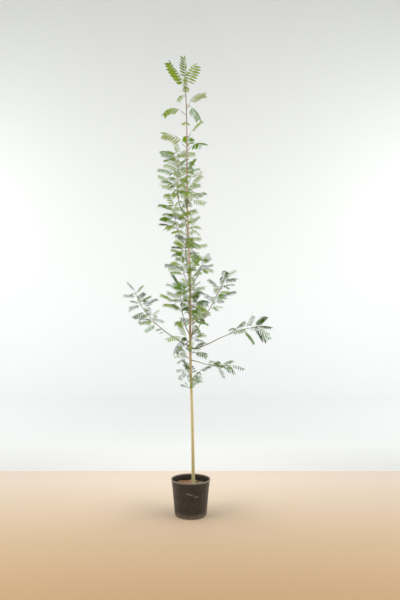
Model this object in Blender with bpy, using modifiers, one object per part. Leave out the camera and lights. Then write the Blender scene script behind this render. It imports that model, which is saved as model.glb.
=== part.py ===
"""Young container-grown rowan, about 3.3 m tall, standing in a nursery pot.

Metres, +Z up. The origin is the centre of the pot's flat underside. Compass
directions are in degrees: 0 is +X, 90 is +Y, 180 is -X and 270 is -Y.
"""

import math
import random

import bmesh
import bpy
from mathutils import Vector
from mathutils.bvhtree import BVHTree

GAP = 0.0003
WELD = 0.000001

# Nursery pot: a thin moulded wall with a collar band and a turned-down lip.
POT_HEIGHT = 0.260
POT_RIM_RADIUS = 0.140
POT_FOOT_RADIUS = 0.111
POT_COLLAR_RADIUS = 0.1345
POT_COLLAR_DEPTH = 0.050
POT_COLLAR_STEP = 0.0025
POT_BODY_FLARE = 0.0205
POT_WALL = 0.0022
POT_FLOOR = 0.0030
POT_LIP_DROP = 0.011
POT_EDGE = 0.0015
POT_FOOT_CHAMFER = 0.004
POT_SIDES = 40
DRAIN_COUNT = 12
DRAIN_WIDTH = 0.016
DRAIN_HEIGHT = 0.008
DRAIN_DEPTH = 0.010

# Compost, from the pot's floor to a little under the rim.
COMPOST_TOP = 0.216
COMPOST_SWELL = 0.0035
COMPOST_WAVES = (61, 53, 117, 89)
COMPOST_STARTS = (0.6, 1.1)
COMPOST_RIPPLE = 0.4
COMPOST_SETTLE = 0.35
COMPOST_PAD = 0.024
COMPOST_SIDE_ROOM = 0.0009
COMPOST_FOOT_ROOM = 0.0006
COMPOST_RINGS = (0.045, 0.072, 0.098)
COMPOST_SIDES = 20

# Trunk: a flared foot, an even lean to the left and a slight sway.
TRUNK_FOOT = COMPOST_TOP + GAP
TRUNK_TOP = 3.020
TRUNK_FOOT_X = 0.0193
TRUNK_LEAN = 0.0200
TRUNK_SWAY = 0.0040
TRUNK_SWAY_PITCH = 1.15
TRUNK_SWAY_RATIO = 0.7
TRUNK_SWAY_START = 1.0
TRUNK_FOOT_RADIUS = 0.0122
TRUNK_TOP_RADIUS = 0.0030
TRUNK_TAPER = 0.90
TRUNK_FLARE = 0.0045
TRUNK_FLARE_HEIGHT = 0.020
TRUNK_POINTS = 26
TRUNK_POINT_CROWDING = 1.25
TRUNK_CUT = 0.003
TRUNK_ROUNDING = 2

# Shoots: each is one limb that leaves the trunk and carries leaves past its bare share.
SHOOT_STEPS = 24
SHOOT_TIP_RADIUS = 0.0013
SHOOT_TAPER = 0.85
SHOOT_MOST_HIDDEN = 0.6
SIGHT = 0.02
SPUR_MOST = 0.1
SPUR_RADIUS = 0.0019
SPUR_TURN = 8
END_RING = 0.002
BOUGH_POINTS = 6
BOUGH_ROUNDING = 1
STEM_POINTS = 7
SPUR_POINTS = 3
STEM_SIDES = 3
TWIG_POINTS = 4
TWIG_LENGTH = 0.075
TWIG_RADIUS = 0.0016
TWIG_PLACES = (0.25, 0.60)
TWIG_SPREAD = 48
TWIG_TURN = 60
TWIG_LIFT = 0.35
TWIG_RISE = 0.012
TWIG_TAPER = 0.45
TURN = 137.5
TEST_SIDES = 6
TEST_POINTS = 13
TRUNK_TEST_POINTS = 25

# Compound leaf: a bare stalk, then pairs of leaflets along an arching rib, and one at the end.
STALK_SHARE = 0.17
RIB_SHARE = 0.84
LEAFLET_SHARE = 0.29
LEAFLET_GROWTH = 0.4
LEAFLET_END = 0.84
LEAFLET_BELLY = 0.64
SPLAY_FIRST = 74
SPLAY_LAST = 50
LEAF_COMMON = 0.15
LEAF_DROOP = 60
LEAF_DROOP_SPREAD = 0.25
LEAF_CURL = 22
LEAF_ROLL = 30
LEAF_FOLD = 42
LEAF_FOLD_SPREAD = 14
LEAF_THICKNESS = 0.013
RIB_WIDTH = 0.016
LEAF_TRIES = 13
LEAF_CLEARANCE = 0.0011
RIB_STEPS = 8
PAIR_LENGTHS = (0.142, 0.190)
FEWEST_PAIRS = 4
VEIL_STEPS = 3
SWING_TURN = 17
SWING_DROP = 6
SWING_DROPS = 3
LEAF_SEED = 100

# Where a shoot's leaves stand and how large they are, from its foot to its tip.
FIRST_LEAF = 0.06
TIP_SPREAD = 14
TURN_SPREAD = 14
LEAF_SIZES = (1.06, 0.84)
LEAF_SIZE_SPREAD = 0.12
TWIG_LEAF_SIZE = 0.92
TWIG_LEAF_SIZE_SPREAD = 0.10
TWIG_FORK = 1.1
TWIG_LEAF_LIFT = 0.25

# Finishes: linear colour and roughness. Angles above which an edge stays sharp.
BARK_FINISH = (0.33, 0.25, 0.17), 0.75
SHOOT_FINISH = (0.27, 0.22, 0.13), 0.70
POT_FINISH = (0.030, 0.028, 0.026), 0.45
COMPOST_FINISH = (0.12, 0.075, 0.045), 0.95
LEAF_FINISH = (0.16, 0.26, 0.07), 0.60
SHARP_EDGE = 50
POT_SHARP_EDGE = 35


def shoot(name, height, compass, rises, length, bare, foot, leaves, leaf, twigs=0, turn=0, free=True):
    """One row of the plan: where a shoot leaves the trunk, how it runs and what it bears."""
    return dict(
        name=name, height=height, compass=compass, rises=rises, length=length, bare=bare, foot=foot,
        leaves=leaves, leaf=leaf, twigs=twigs, turn=turn, free=free, spread=(62, 44), droop=1.0,
        crowding=0.9, face=22, lift=0.30,
    )


# Long shoots: name, height, compass, rises, length, bare share, foot radius, leaves,
# leaf length, twigs, first leaf's turn about the stem, free of the inner crown's outline.
BOUGHS = (
    shoot("left_long", 1.200, (178, 183), (26, 36, 50, 72), 0.570, 0.34, 0.0042, 10, 0.135, 1, 40),
    shoot("right_long", 1.186, (-8, 4), (8, 28, 18, 8), 0.520, 0.40, 0.0044, 8, 0.150, 1, 0),
    shoot("right_upper", 1.275, (4, -10), (44, 60, 62, 66), 0.480, 0.42, 0.0042, 8, 0.135, 1, 60),
    shoot("right_low", 1.105, (-25, -10), (-6, -18, 2, -2), 0.290, 0.34, 0.0034, 6, 0.120, 1, 0),
    shoot("left_upright", 1.290, (170, 182), (50, 80, 84, 86), 0.340, 0.30, 0.0038, 8, 0.150, 1, 90),
    shoot("right_upright", 1.626, (8, -8), (48, 66, 72), 0.200, 0.30, 0.0032, 6, 0.140, 0, 20),
    shoot("left_middle", 1.640, (184, 200), (52, 80), 0.150, 0.30, 0.0030, 4, 0.145, 0, 10),
    shoot("left_inner", 1.790, (176, 150), (55, 88, 94, 80), 0.250, 0.30, 0.0032, 6, 0.140, 0, 146, False),
    shoot("left_outer", 1.900, (186, 180), (42, 74, 90), 0.300, 0.36, 0.0032, 7, 0.160, 1, 30),
    shoot("left_crown", 2.130, (180, 178), (38, 78, 92, 90, 92), 0.460, 0.20, 0.0038, 14, 0.155, 2, 60),
    shoot("back_low", 1.240, (78, 92), (30, 50, 62), 0.360, 0.36, 0.0038, 7, 0.145, 1, 10, False),
    shoot("front_middle", 1.420, (262, 282), (40, 62, 74), 0.260, 0.34, 0.0032, 5, 0.145, 0, 70, False),
    shoot("back_middle", 1.700, (112, 84), (40, 60, 72), 0.300, 0.34, 0.0034, 6, 0.145, 1, 50, False),
    shoot("front_upper", 1.960, (262, 240), (42, 66, 80), 0.220, 0.32, 0.0030, 4, 0.140, 0, 30, False),
    shoot("back_upper", 2.150, (100, 110), (44, 70, 82), 0.240, 0.32, 0.0030, 5, 0.145, 0, 100, False),
)


def spur(name, height, compass, rise, leaves, leaf, length=0.035, droop=1.0, face=22):
    """A short shoot with no bare limb of its own, straight out of the trunk."""
    rises = (rise, rise + SPUR_TURN)
    row = shoot(name, height, (compass, compass), rises, length, 0, SPUR_RADIUS, leaves, leaf, 0, 90, False)
    row.update(droop=droop, face=face, lift=0.0)
    return row


# Short spurs up the trunk: name, height, compass, rise, leaves, leaf length.
SPURS = (
    spur("left_lowest", 0.905, 195, 10, 1, 0.100),
    spur("right_lowest", 0.965, -12, 38, 3, 0.145, 0.080),
    spur("left_low", 1.010, 178, 25, 3, 0.130),
    spur("left_low_upper", 1.115, 186, 20, 2, 0.125),
    spur("front_right_low", 1.150, 322, 14, 2, 0.145),
    spur("left_hand", 1.235, 188, 24, 3, 0.175, 0.060),
    spur("front_face", 1.250, 322, 26, 3, 0.130),
    spur("right_hand", 1.360, -5, 20, 3, 0.155),
    spur("right_middle", 1.480, 10, 40, 2, 0.150),
    spur("front_dark", 1.560, 305, 30, 2, 0.140),
    spur("right_face", 1.720, 300, 30, 2, 0.140),
    spur("right_inner", 1.870, 15, 45, 3, 0.150),
    spur("right_high", 2.040, 330, 20, 2, 0.135),
    spur("right_stalk", 2.235, 0, 22, 1, 0.150),
    spur("right_arch", 2.285, -8, 58, 1, 0.180),
    spur("leader_right_low", 2.370, 8, 42, 1, 0.140),
    spur("leader_front_low", 2.500, 280, 0, 1, 0.160, 0.035, 1.4),
    spur("leader_back_low", 2.430, 100, 35, 2, 0.140),
    spur("leader_pair_left", 2.620, 180, 36, 1, 0.225, 0.035, 0.80, 60),
    spur("leader_pair_right", 2.602, 0, 34, 2, 0.205, 0.035, 0.9, 60),
    spur("leader_right", 2.690, 5, 44, 1, 0.165),
    spur("leader_back", 2.760, 95, 35, 1, 0.170),
    spur("leader_left", 2.855, 180, 28, 1, 0.245, 0.035, 1.3, 40),
    spur("leader_front", 2.975, 262, 24, 3, 0.140),
    spur("leader_right_top", 2.895, 0, 54, 1, 0.235, 0.035, 1.2, 40),
    spur("leader_hanging", 2.930, 325, -40, 1, 0.200, 0.035, 0.8, 60),
)

# Leaves crowd towards the tip of the three longest boughs.
BOUGHS[0].update(crowding=0.55, lift=0.12)
BOUGHS[1].update(crowding=0.11, droop=0.55, spread=(66, 36))
BOUGHS[2].update(crowding=0.60)

# The leader: the trunk's own last shoot, which carries on from the trunk's tip.
LEADER = shoot("leader_tip", TRUNK_TOP, (180, 181), (86, 85, 84), 0.088, 0, 0.0030, 5, 0.205, 0, -5)
LEADER.update(spread=(46, -4), droop=0.12, face=50, lift=0.0)

# Outline of the inner crown from the front: its reach to either side at even heights.
CROWN_FOOT = 0.90
CROWN_HEAD = 3.00
CROWN_LEFT = (0.07, 0.11, 0.20, 0.18, 0.15, 0.17, 0.18, 0.20, 0.25, 0.25, 0.22, 0.23, 0.24, 0.23, 0.16)
CROWN_RIGHT = (0.03, 0.16, 0.14, 0.17, 0.15, 0.13, 0.11, 0.15, 0.07, 0.13, 0.11, 0.11, 0.13, 0.09, 0.13)


def heading(compass, rise):
    """Unit vector for a compass direction and a rise above the horizon."""
    turn = math.radians(compass)
    lift = math.radians(rise)
    return Vector((math.cos(turn) * math.cos(lift), math.sin(turn) * math.cos(lift), math.sin(lift)))


def along(values, share):
    """Value at a share of the way through evenly spaced values."""
    place = share * (len(values) - 1)
    index = min(int(place), len(values) - 2)
    return values[index] + (values[index + 1] - values[index]) * (place - index)


def trunk_centre(height):
    """Centre of the trunk at a height."""
    climb = height - TRUNK_FOOT
    wave = 2 * math.pi * climb / TRUNK_SWAY_PITCH
    easing = min(1.0, climb / TRUNK_SWAY_PITCH)
    return Vector((
        TRUNK_FOOT_X - TRUNK_LEAN * climb + TRUNK_SWAY * easing * math.sin(wave),
        TRUNK_SWAY * easing * math.sin(wave * TRUNK_SWAY_RATIO + TRUNK_SWAY_START),
        height,
    ))


def trunk_radius(height):
    """Radius of the trunk at a height, with the root flare at its foot."""
    climb = height - TRUNK_FOOT
    share = climb / (TRUNK_TOP - TRUNK_FOOT)
    taper = TRUNK_FOOT_RADIUS + (TRUNK_TOP_RADIUS - TRUNK_FOOT_RADIUS) * share ** TRUNK_TAPER
    return taper + TRUNK_FLARE * math.exp(-climb / TRUNK_FLARE_HEIGHT)


def sweep(start, row):
    """Evenly spaced points of a shoot that turns smoothly through the row's directions."""
    points = [start]
    for step in range(SHOOT_STEPS):
        share = (step + 0.5) / SHOOT_STEPS
        direction = heading(along(row["compass"], share), along(row["rises"], share))
        points.append(points[-1] + direction * (row["length"] / SHOOT_STEPS))
    return points


def stretch(row, first, last, count):
    """Centres and radii of part of a shoot, with a second ring close to each end to keep it square."""
    shares = [first + (last - first) * i / (count - 1) for i in range(count)]
    if row["length"] > SPUR_MOST:
        shares.insert(1, first + END_RING / row["length"])
        shares.insert(-1, last - END_RING / row["length"])
    centres = [along(row["points"], share) for share in shares]
    radii = [shoot_radius(row, share) for share in shares]
    return centres, radii


def shoot_radius(row, share):
    """Radius of a shoot at a share of its length."""
    return row["foot"] + (SHOOT_TIP_RADIUS - row["foot"]) * share ** SHOOT_TAPER


def frame_of(direction):
    """Two unit vectors across a direction, the first one level."""
    side = Vector((-direction.y, direction.x, 0.0))
    if side.length < 0.05:
        side = Vector((0.0, 1.0, 0.0))
    side.normalize()
    return side, direction.cross(side)


class Leaf:
    """An arching compound leaf: where it starts, how it heads off, droops, curls and rolls."""

    def __init__(self, base, out, length, row, mood, swing):
        common = length / LEAF_COMMON
        self.base = base
        self.length = length
        self.rise = math.degrees(math.asin(max(-1.0, min(1.0, out.z)))) + swing[1]
        self.compass = math.degrees(math.atan2(out.y, out.x)) + swing[0]
        self.droop = LEAF_DROOP * row["droop"] * common * (1 + LEAF_DROOP_SPREAD * mood[0])
        self.curl = LEAF_CURL * mood[1]
        self.roll = math.radians(LEAF_ROLL * mood[2] + row["face"] * math.cos(math.radians(self.compass)))
        self.fold = math.radians(LEAF_FOLD + LEAF_FOLD_SPREAD * mood[3])
        self.leaflets = LEAFLET_SHARE * common ** LEAFLET_GROWTH
        self.pairs = FEWEST_PAIRS + sum(length >= least for least in PAIR_LENGTHS)

    def shares(self):
        """Shares of the length where the rib has a section, from the first pair of leaflets on."""
        step = (RIB_SHARE - STALK_SHARE) / self.pairs
        return [STALK_SHARE + step * i for i in range(self.pairs + 1)]

    def rib(self, share):
        """Point, direction, side and upper normal on the rib at a share of the length."""
        point = self.base.copy()
        for i in range(RIB_STEPS):
            middle = share * (i + 0.5) / RIB_STEPS
            point += self.direction(middle) * (self.length * share / RIB_STEPS)
        direction = self.direction(share)
        turn = math.radians(self.compass + self.curl * share)
        side = Vector((-math.sin(turn), math.cos(turn), 0.0))
        upper = direction.cross(side)
        rolled = side * math.cos(self.roll) + upper * math.sin(self.roll)
        return point, direction, rolled, direction.cross(rolled)

    def direction(self, share):
        """Unit vector along the rib at a share of the length."""
        return heading(self.compass + self.curl * share, self.rise - self.droop * share)

    def leaflet(self, share, hand):
        """Tip of the leaflet that stands on one hand of the rib at a share of the length."""
        point, direction, side, upper = self.rib(share)
        place = (share - STALK_SHARE) / (RIB_SHARE - STALK_SHARE)
        splay = math.radians(SPLAY_FIRST + (SPLAY_LAST - SPLAY_FIRST) * place)
        size = self.length * self.leaflets * (LEAFLET_END + LEAFLET_BELLY * place * (1 - place))
        across = side * hand * math.cos(self.fold) - upper * math.sin(self.fold)
        return point + (direction * math.cos(splay) + across * math.sin(splay)) * size

    def veil(self, lift):
        """Thin outline of the leaf, moved along its upper normal, for testing its clearance."""
        rib = RIB_SHARE - STALK_SHARE
        shares = [STALK_SHARE + rib * i / VEIL_STEPS for i in range(VEIL_STEPS + 1)] + [1.0]
        points = []
        faces = []
        for share in shares:
            point, _, _, upper = self.rib(share)
            shift = upper * lift
            hands = [self.leaflet(min(share, RIB_SHARE), hand) for hand in (1, -1)]
            if share == 1.0:
                hands = [point, point]
            points += [point + shift, hands[0] + shift, hands[1] + shift]
        for i in range(len(shares) - 1):
            here = 3 * i
            for hand in (1, 2):
                faces.append((here, here + hand, here + 3 + hand))
                faces.append((here, here + 3 + hand, here + 3))
        return points, faces


def in_outline(leaf):
    """Whether the tip of a leaf keeps inside the inner crown's outline from the front."""
    tip = leaf.rib(1.0)[0]
    share = min(1.0, max(0.0, (tip.z - CROWN_FOOT) / (CROWN_HEAD - CROWN_FOOT)))
    return -along(CROWN_LEFT, share) < tip.x < along(CROWN_RIGHT, share)


def veil_tree(leaf):
    """Search tree of a leaf's two veils, which lie just above and just below its blade."""
    lift = leaf.length * LEAF_THICKNESS / 2 + LEAF_CLEARANCE
    points, faces = leaf.veil(lift)
    lower, _ = leaf.veil(-lift)
    count = len(points)
    faces = faces + [tuple(i + count for i in face) for face in faces]
    return BVHTree.FromPolygons(points + lower, faces)


def tube_tree(centres, radii):
    """Search tree of a limb, a little thicker than the limb itself."""
    wide = [radius + LEAF_CLEARANCE for radius in radii]
    points, faces = tube_rings(centres, wide, TEST_SIDES)
    return BVHTree.FromPolygons(points, faces)


def tube_rings(centres, radii, sides):
    """Points and faces of a closed tube of flat-sided rings along its centres."""
    points = []
    faces = []
    count = len(centres)
    for i, (centre, radius) in enumerate(zip(centres, radii)):
        direction = (centres[min(i + 1, count - 1)] - centres[max(i - 1, 0)]).normalized()
        side, upper = frame_of(direction)
        for k in range(sides):
            turn = 2 * math.pi * k / sides
            points.append(centre + (side * math.cos(turn) + upper * math.sin(turn)) * radius)
    for i in range(count - 1):
        for k in range(sides):
            a = i * sides + k
            b = i * sides + (k + 1) % sides
            faces.append((a, b, b + sides, a + sides))
    faces.append(tuple(reversed(range(sides))))
    faces.append(tuple(range((count - 1) * sides, count * sides)))
    return points, faces


def launch(row, share, spread, turn):
    """Direction that leaves a shoot at an angle from it and a turn about it."""
    ahead = along(row["points"], min(1.0, share + SIGHT))
    behind = along(row["points"], max(0.0, share - SIGHT))
    direction = (ahead - behind).normalized()
    side, upper = frame_of(direction)
    across = side * math.cos(math.radians(turn)) + upper * math.sin(math.radians(turn))
    return direction * math.cos(math.radians(spread)) + across * math.sin(math.radians(spread))


def way_out(row):
    """Length of a shoot that lies inside the trunk."""
    if row["height"] >= TRUNK_TOP:
        return 0.0
    return trunk_radius(row["height"]) / math.cos(math.radians(row["rises"][0]))


def grow_limbs(row):
    """Run a shoot's line and give it its side twigs."""
    start = trunk_centre(row["height"])
    row["points"] = sweep(start, row)
    row["twig_runs"] = []
    inner = max(row["bare"], min(SHOOT_MOST_HIDDEN, way_out(row) / row["length"]))
    row["first"] = inner
    for i in range(row["twigs"]):
        share = inner + (1 - inner) * (TWIG_PLACES[0] + TWIG_PLACES[1] * i / row["twigs"])
        out = launch(row, share, TWIG_SPREAD, row["turn"] + TWIG_TURN + TURN * (i + 1))
        out = (out + Vector((0, 0, TWIG_LIFT))).normalized()
        root = along(row["points"], share)
        steps = [k / (TWIG_POINTS - 1) for k in range(TWIG_POINTS)]
        rise = Vector((0, 0, TWIG_RISE))
        row["twig_runs"].append([root + out * (TWIG_LENGTH * step) + rise * step ** 2 for step in steps])


def leaf_sites(row, rng):
    """Places, outward directions and lengths of a shoot's leaves, from its foot to its tip."""
    sites = []
    for i in range(row["leaves"]):
        share = (i + 1) / row["leaves"]
        place = FIRST_LEAF + (1 - FIRST_LEAF) * share ** row["crowding"]
        place = row["first"] + (1 - row["first"]) * place
        spread = TIP_SPREAD if share == 1.0 else along(row["spread"], share)
        size = row["leaf"] * (along(LEAF_SIZES, share) + LEAF_SIZE_SPREAD * rng.uniform(-1, 1))
        out = launch(row, place, spread, row["turn"] + TURN * i + TURN_SPREAD * rng.uniform(-1, 1))
        out = (out + Vector((0, 0, row["lift"]))).normalized()
        sites.append((along(row["points"], place), out, size))
    for centres in row["twig_runs"]:
        direction = (centres[-1] - centres[0]).normalized()
        side, _ = frame_of(direction)
        for root, hand in ((centres[-3], 1), (centres[-2], -1), (centres[-1], 0)):
            out = (direction + side * hand * TWIG_FORK + Vector((0, 0, TWIG_LEAF_LIFT))).normalized()
            size = row["leaf"] * (TWIG_LEAF_SIZE + TWIG_LEAF_SIZE_SPREAD * rng.uniform(-1, 1))
            sites.append((root, out, size))
    return sites


def grow_leaves(row, sites, rng, taken, limbs):
    """Give a shoot its leaves, leaving out each one that would touch a leaf or a limb."""
    for base, out, size in sites:
        mood = [rng.uniform(-1, 1) for _ in range(4)]
        for attempt in range(LEAF_TRIES):
            turn = (attempt + 1) // 2 * SWING_TURN * (-1) ** attempt
            leaf = Leaf(base, out, size, row, mood, (turn, -SWING_DROP * (attempt % SWING_DROPS)))
            if not row["free"] and not in_outline(leaf):
                continue
            tree = veil_tree(leaf)
            if any(tree.overlap(other) for other in taken + limbs):
                continue
            taken.append(tree)
            row["grown"].append(leaf)
            break


def limb_trees(rows):
    """Search trees of the trunk, of every shoot and of every twig."""
    last = TRUNK_TEST_POINTS - 1
    heights = [TRUNK_FOOT + (TRUNK_TOP - TRUNK_FOOT) * i / last for i in range(TRUNK_TEST_POINTS)]
    trees = [tube_tree([trunk_centre(h) for h in heights], [trunk_radius(h) for h in heights])]
    for row in rows:
        centres, radii = stretch(row, 0.0, 1.0, TEST_POINTS)
        trees.append(tube_tree(centres, radii))
        for run in row["twig_runs"]:
            trees.append(tube_tree(run, [TWIG_RADIUS] * len(run)))
    return trees


def grow_all():
    """Grow every shoot: limbs first, then leaves, in the order of the plan."""
    rows = [dict(row, grown=[]) for row in BOUGHS + SPURS + (LEADER,)]
    for row in rows:
        grow_limbs(row)
    limbs = limb_trees(rows)
    taken = []
    for number, row in enumerate(rows):
        rng = random.Random(LEAF_SEED + number)
        grow_leaves(row, leaf_sites(row, rng), rng, taken, limbs)
    return rows


def add_object(name, points, faces, collection):
    """Object from points and faces."""
    mesh = bpy.data.meshes.new(name)
    mesh.from_pydata([tuple(point) for point in points], [], faces)
    mesh.validate()
    thing = bpy.data.objects.new(name, mesh)
    collection.objects.link(thing)
    return thing


def finish(thing, colour, roughness):
    """Give an object its own material."""
    material = bpy.data.materials.new(thing.name)
    material.use_nodes = True
    shader = material.node_tree.nodes["Principled BSDF"]
    shader.inputs["Base Color"].default_value = (*colour, 1.0)
    shader.inputs["Roughness"].default_value = roughness
    shader.inputs["Metallic"].default_value = 0.0
    thing.data.materials.clear()
    thing.data.materials.append(material)


def smooth(mesh, angle):
    """Shade a mesh smooth, with its sharp edges kept."""
    mesh.shade_smooth()
    mesh.set_sharp_from_angle(angle=math.radians(angle))


def baked(thing):
    """Welded mesh that an object's modifiers or its curve give, and whether it is closed."""
    depsgraph = bpy.context.evaluated_depsgraph_get()
    mesh = bpy.data.meshes.new_from_object(thing.evaluated_get(depsgraph))
    body = bmesh.new()
    body.from_mesh(mesh)
    bmesh.ops.remove_doubles(body, verts=body.verts, dist=WELD)
    drop_scraps(body)
    bmesh.ops.recalc_face_normals(body, faces=body.faces)
    closed = all(edge.is_manifold for edge in body.edges)
    body.to_mesh(mesh)
    body.free()
    return mesh, closed


def settle(thing, solvers=("EXACT", "MANIFOLD")):
    """Replace an object by its evaluated mesh, with the first Boolean solver that closes it."""
    for solver in solvers:
        for modifier in thing.modifiers:
            if modifier.type == "BOOLEAN":
                modifier.solver = solver
        mesh, closed = baked(thing)
        if closed:
            break
    settled = bpy.data.objects.new(thing.name, mesh)
    thing.users_collection[0].objects.link(settled)
    name = thing.name
    bpy.data.objects.remove(thing)
    settled.name = name
    return settled


def drop_scraps(body):
    """Keep only the largest piece of a mesh, where pieces are faces joined along edges."""
    waiting = set(body.faces)
    islands = []
    while waiting:
        reached = [waiting.pop()]
        island = set(reached)
        while reached:
            for edge in reached.pop().edges:
                for face in edge.link_faces:
                    if face not in island:
                        island.add(face)
                        reached.append(face)
        waiting -= island
        islands.append(island)
    islands.sort(key=len)
    scraps = [face for island in islands[:-1] for face in island]
    bmesh.ops.delete(body, geom=scraps, context="FACES")


def limb_object(name, centres, radii, resolution, collection):
    """Round tapering limb: a curve with filled caps, made a mesh."""
    curve = bpy.data.curves.new(name, "CURVE")
    curve.dimensions = "3D"
    curve.bevel_depth = 1.0
    curve.bevel_resolution = resolution
    curve.use_fill_caps = True
    spline = curve.splines.new("POLY")
    spline.points.add(len(centres) - 1)
    for point, centre, radius in zip(spline.points, centres, radii):
        point.co = (*centre, 1.0)
        point.radius = radius
    thing = bpy.data.objects.new(name, curve)
    collection.objects.link(thing)
    return settle(thing)


def trunk_line(swell):
    """Centres and radii down the trunk, from a level cut at its foot."""
    span = TRUNK_TOP - TRUNK_FOOT
    shares = [(i / (TRUNK_POINTS - 1)) ** TRUNK_POINT_CROWDING for i in range(TRUNK_POINTS)]
    heights = [TRUNK_FOOT + span * share for share in shares]
    centres = [trunk_centre(height) for height in heights]
    centres.insert(1, centres[0] + Vector((0.0, 0.0, TRUNK_CUT)))
    heights.insert(1, TRUNK_FOOT + TRUNK_CUT)
    return centres, [trunk_radius(height) + swell for height in heights]


def make_trunk(parts, cutters):
    """The trunk, and the slightly larger trunk that shoots are cut back to."""
    centres, radii = trunk_line(0.0)
    trunk = limb_object("trunk", centres, radii, TRUNK_ROUNDING, parts)
    finish(trunk, *BARK_FINISH)
    smooth(trunk.data, SHARP_EDGE)
    centres, radii = trunk_line(GAP)
    centres[0] = centres[0] - Vector((0.0, 0.0, TRUNK_CUT))
    centres[-1] = centres[-1] + Vector((0.0, 0.0, GAP))
    room = limb_object("trunk_room", centres, radii, TRUNK_ROUNDING, cutters)
    room.display_type = "WIRE"
    room.hide_render = True
    return room


def cut_back(thing, room):
    """Cut an object back to the trunk's room."""
    cut = thing.modifiers.new("trunk", "BOOLEAN")
    cut.operation = "DIFFERENCE"
    cut.solver = "EXACT"
    cut.object = room
    return settle(thing)


def leaf_solid(leaf):
    """Points and faces of a leaf: a three-sided rib with a wedge-shaped leaflet in each place."""
    half = leaf.length * RIB_WIDTH / 2
    lift = leaf.length * LEAF_THICKNESS / 2
    points = []
    faces = []
    for share in [0.0] + leaf.shares():
        point, _, side, upper = leaf.rib(share)
        points += [point + side * half * hand - upper * lift for hand in (-1, 1)]
        points.append(point + upper * lift)
    rings = len(points) // 3
    faces.append((0, 2, 1))
    faces += [(0, 1, 4, 3), (1, 2, 5, 4), (2, 0, 3, 5)]
    shares = leaf.shares()
    for i in range(1, rings - 1):
        left, right, top = 3 * i, 3 * i + 1, 3 * i + 2
        middle = (shares[i - 1] + shares[i]) / 2
        faces.append((left, right, right + 3, left + 3))
        for hand, edge in ((1, right), (-1, left)):
            tip = len(points)
            points.append(leaf.leaflet(middle, hand))
            sides = [(edge, tip, edge + 3), (top, tip, edge), (top, top + 3, tip), (top + 3, edge + 3, tip)]
            if hand < 0:
                sides = [tuple(reversed(face)) for face in sides]
            faces += sides
    end = 3 * (rings - 1)
    tip = len(points)
    points.append(leaf.rib(1.0)[0])
    faces += [(end, end + 1, tip), (end + 1, end + 2, tip), (end + 2, end, tip)]
    return points, faces


def make_mass(row, parts, spare, room):
    """One mass of leaves: the shoot's leafy end, its twigs and its leaves, fused."""
    from_trunk = not row["bare"] and row["height"] < TRUNK_TOP
    first = 0.0 if from_trunk else row["bare"] + GAP / row["length"]
    count = STEM_POINTS if row["length"] > SPUR_MOST else SPUR_POINTS
    centres, radii = stretch(row, first, 1.0, count)
    stem = add_object(row["name"] + "_leaves", *tube_rings(centres, radii, STEM_SIDES), parts)
    twig_radii = [TWIG_RADIUS * (1 - TWIG_TAPER * k / (TWIG_POINTS - 1)) for k in range(TWIG_POINTS)]
    for run in row["twig_runs"]:
        add_object("twig", *tube_rings(run, twig_radii, STEM_SIDES), spare)
    for leaf in row["grown"]:
        add_object("leaf", *leaf_solid(leaf), spare)
    union = stem.modifiers.new("leaves", "BOOLEAN")
    union.operation = "UNION"
    union.solver = "EXACT"
    union.operand_type = "COLLECTION"
    union.collection = spare
    mass = settle(stem)
    for thing in list(spare.objects):
        bpy.data.objects.remove(thing)
    if from_trunk:
        mass = cut_back(mass, room)
    finish(mass, *LEAF_FINISH)


def make_bough(row, parts, room):
    """The bare part of a long shoot, cut to the trunk at its foot."""
    centres, radii = stretch(row, 0.0, row["bare"], BOUGH_POINTS)
    bough = limb_object(row["name"] + "_bough", centres, radii, BOUGH_ROUNDING, parts)
    bough = cut_back(bough, room)
    finish(bough, *SHOOT_FINISH)
    smooth(bough.data, SHARP_EDGE)


def turned(name, profile, steps, collection):
    """Solid of revolution of a profile that runs down its outer side."""
    mesh = bpy.data.meshes.new(name)
    edges = [(i, i + 1) for i in range(len(profile) - 1)]
    mesh.from_pydata([(radius, 0.0, height) for radius, height in profile], edges, [])
    thing = bpy.data.objects.new(name, mesh)
    collection.objects.link(thing)
    screw = thing.modifiers.new("turn", "SCREW")
    screw.steps = steps
    screw.render_steps = steps
    screw.use_merge_vertices = True
    screw.merge_threshold = WELD
    return thing


def pot_inner_radius(height):
    """Inner radius of the pot's tapering body at a height."""
    share = height / (POT_HEIGHT - POT_COLLAR_DEPTH)
    return POT_FOOT_RADIUS + POT_BODY_FLARE * min(1.0, share) - POT_WALL


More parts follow.
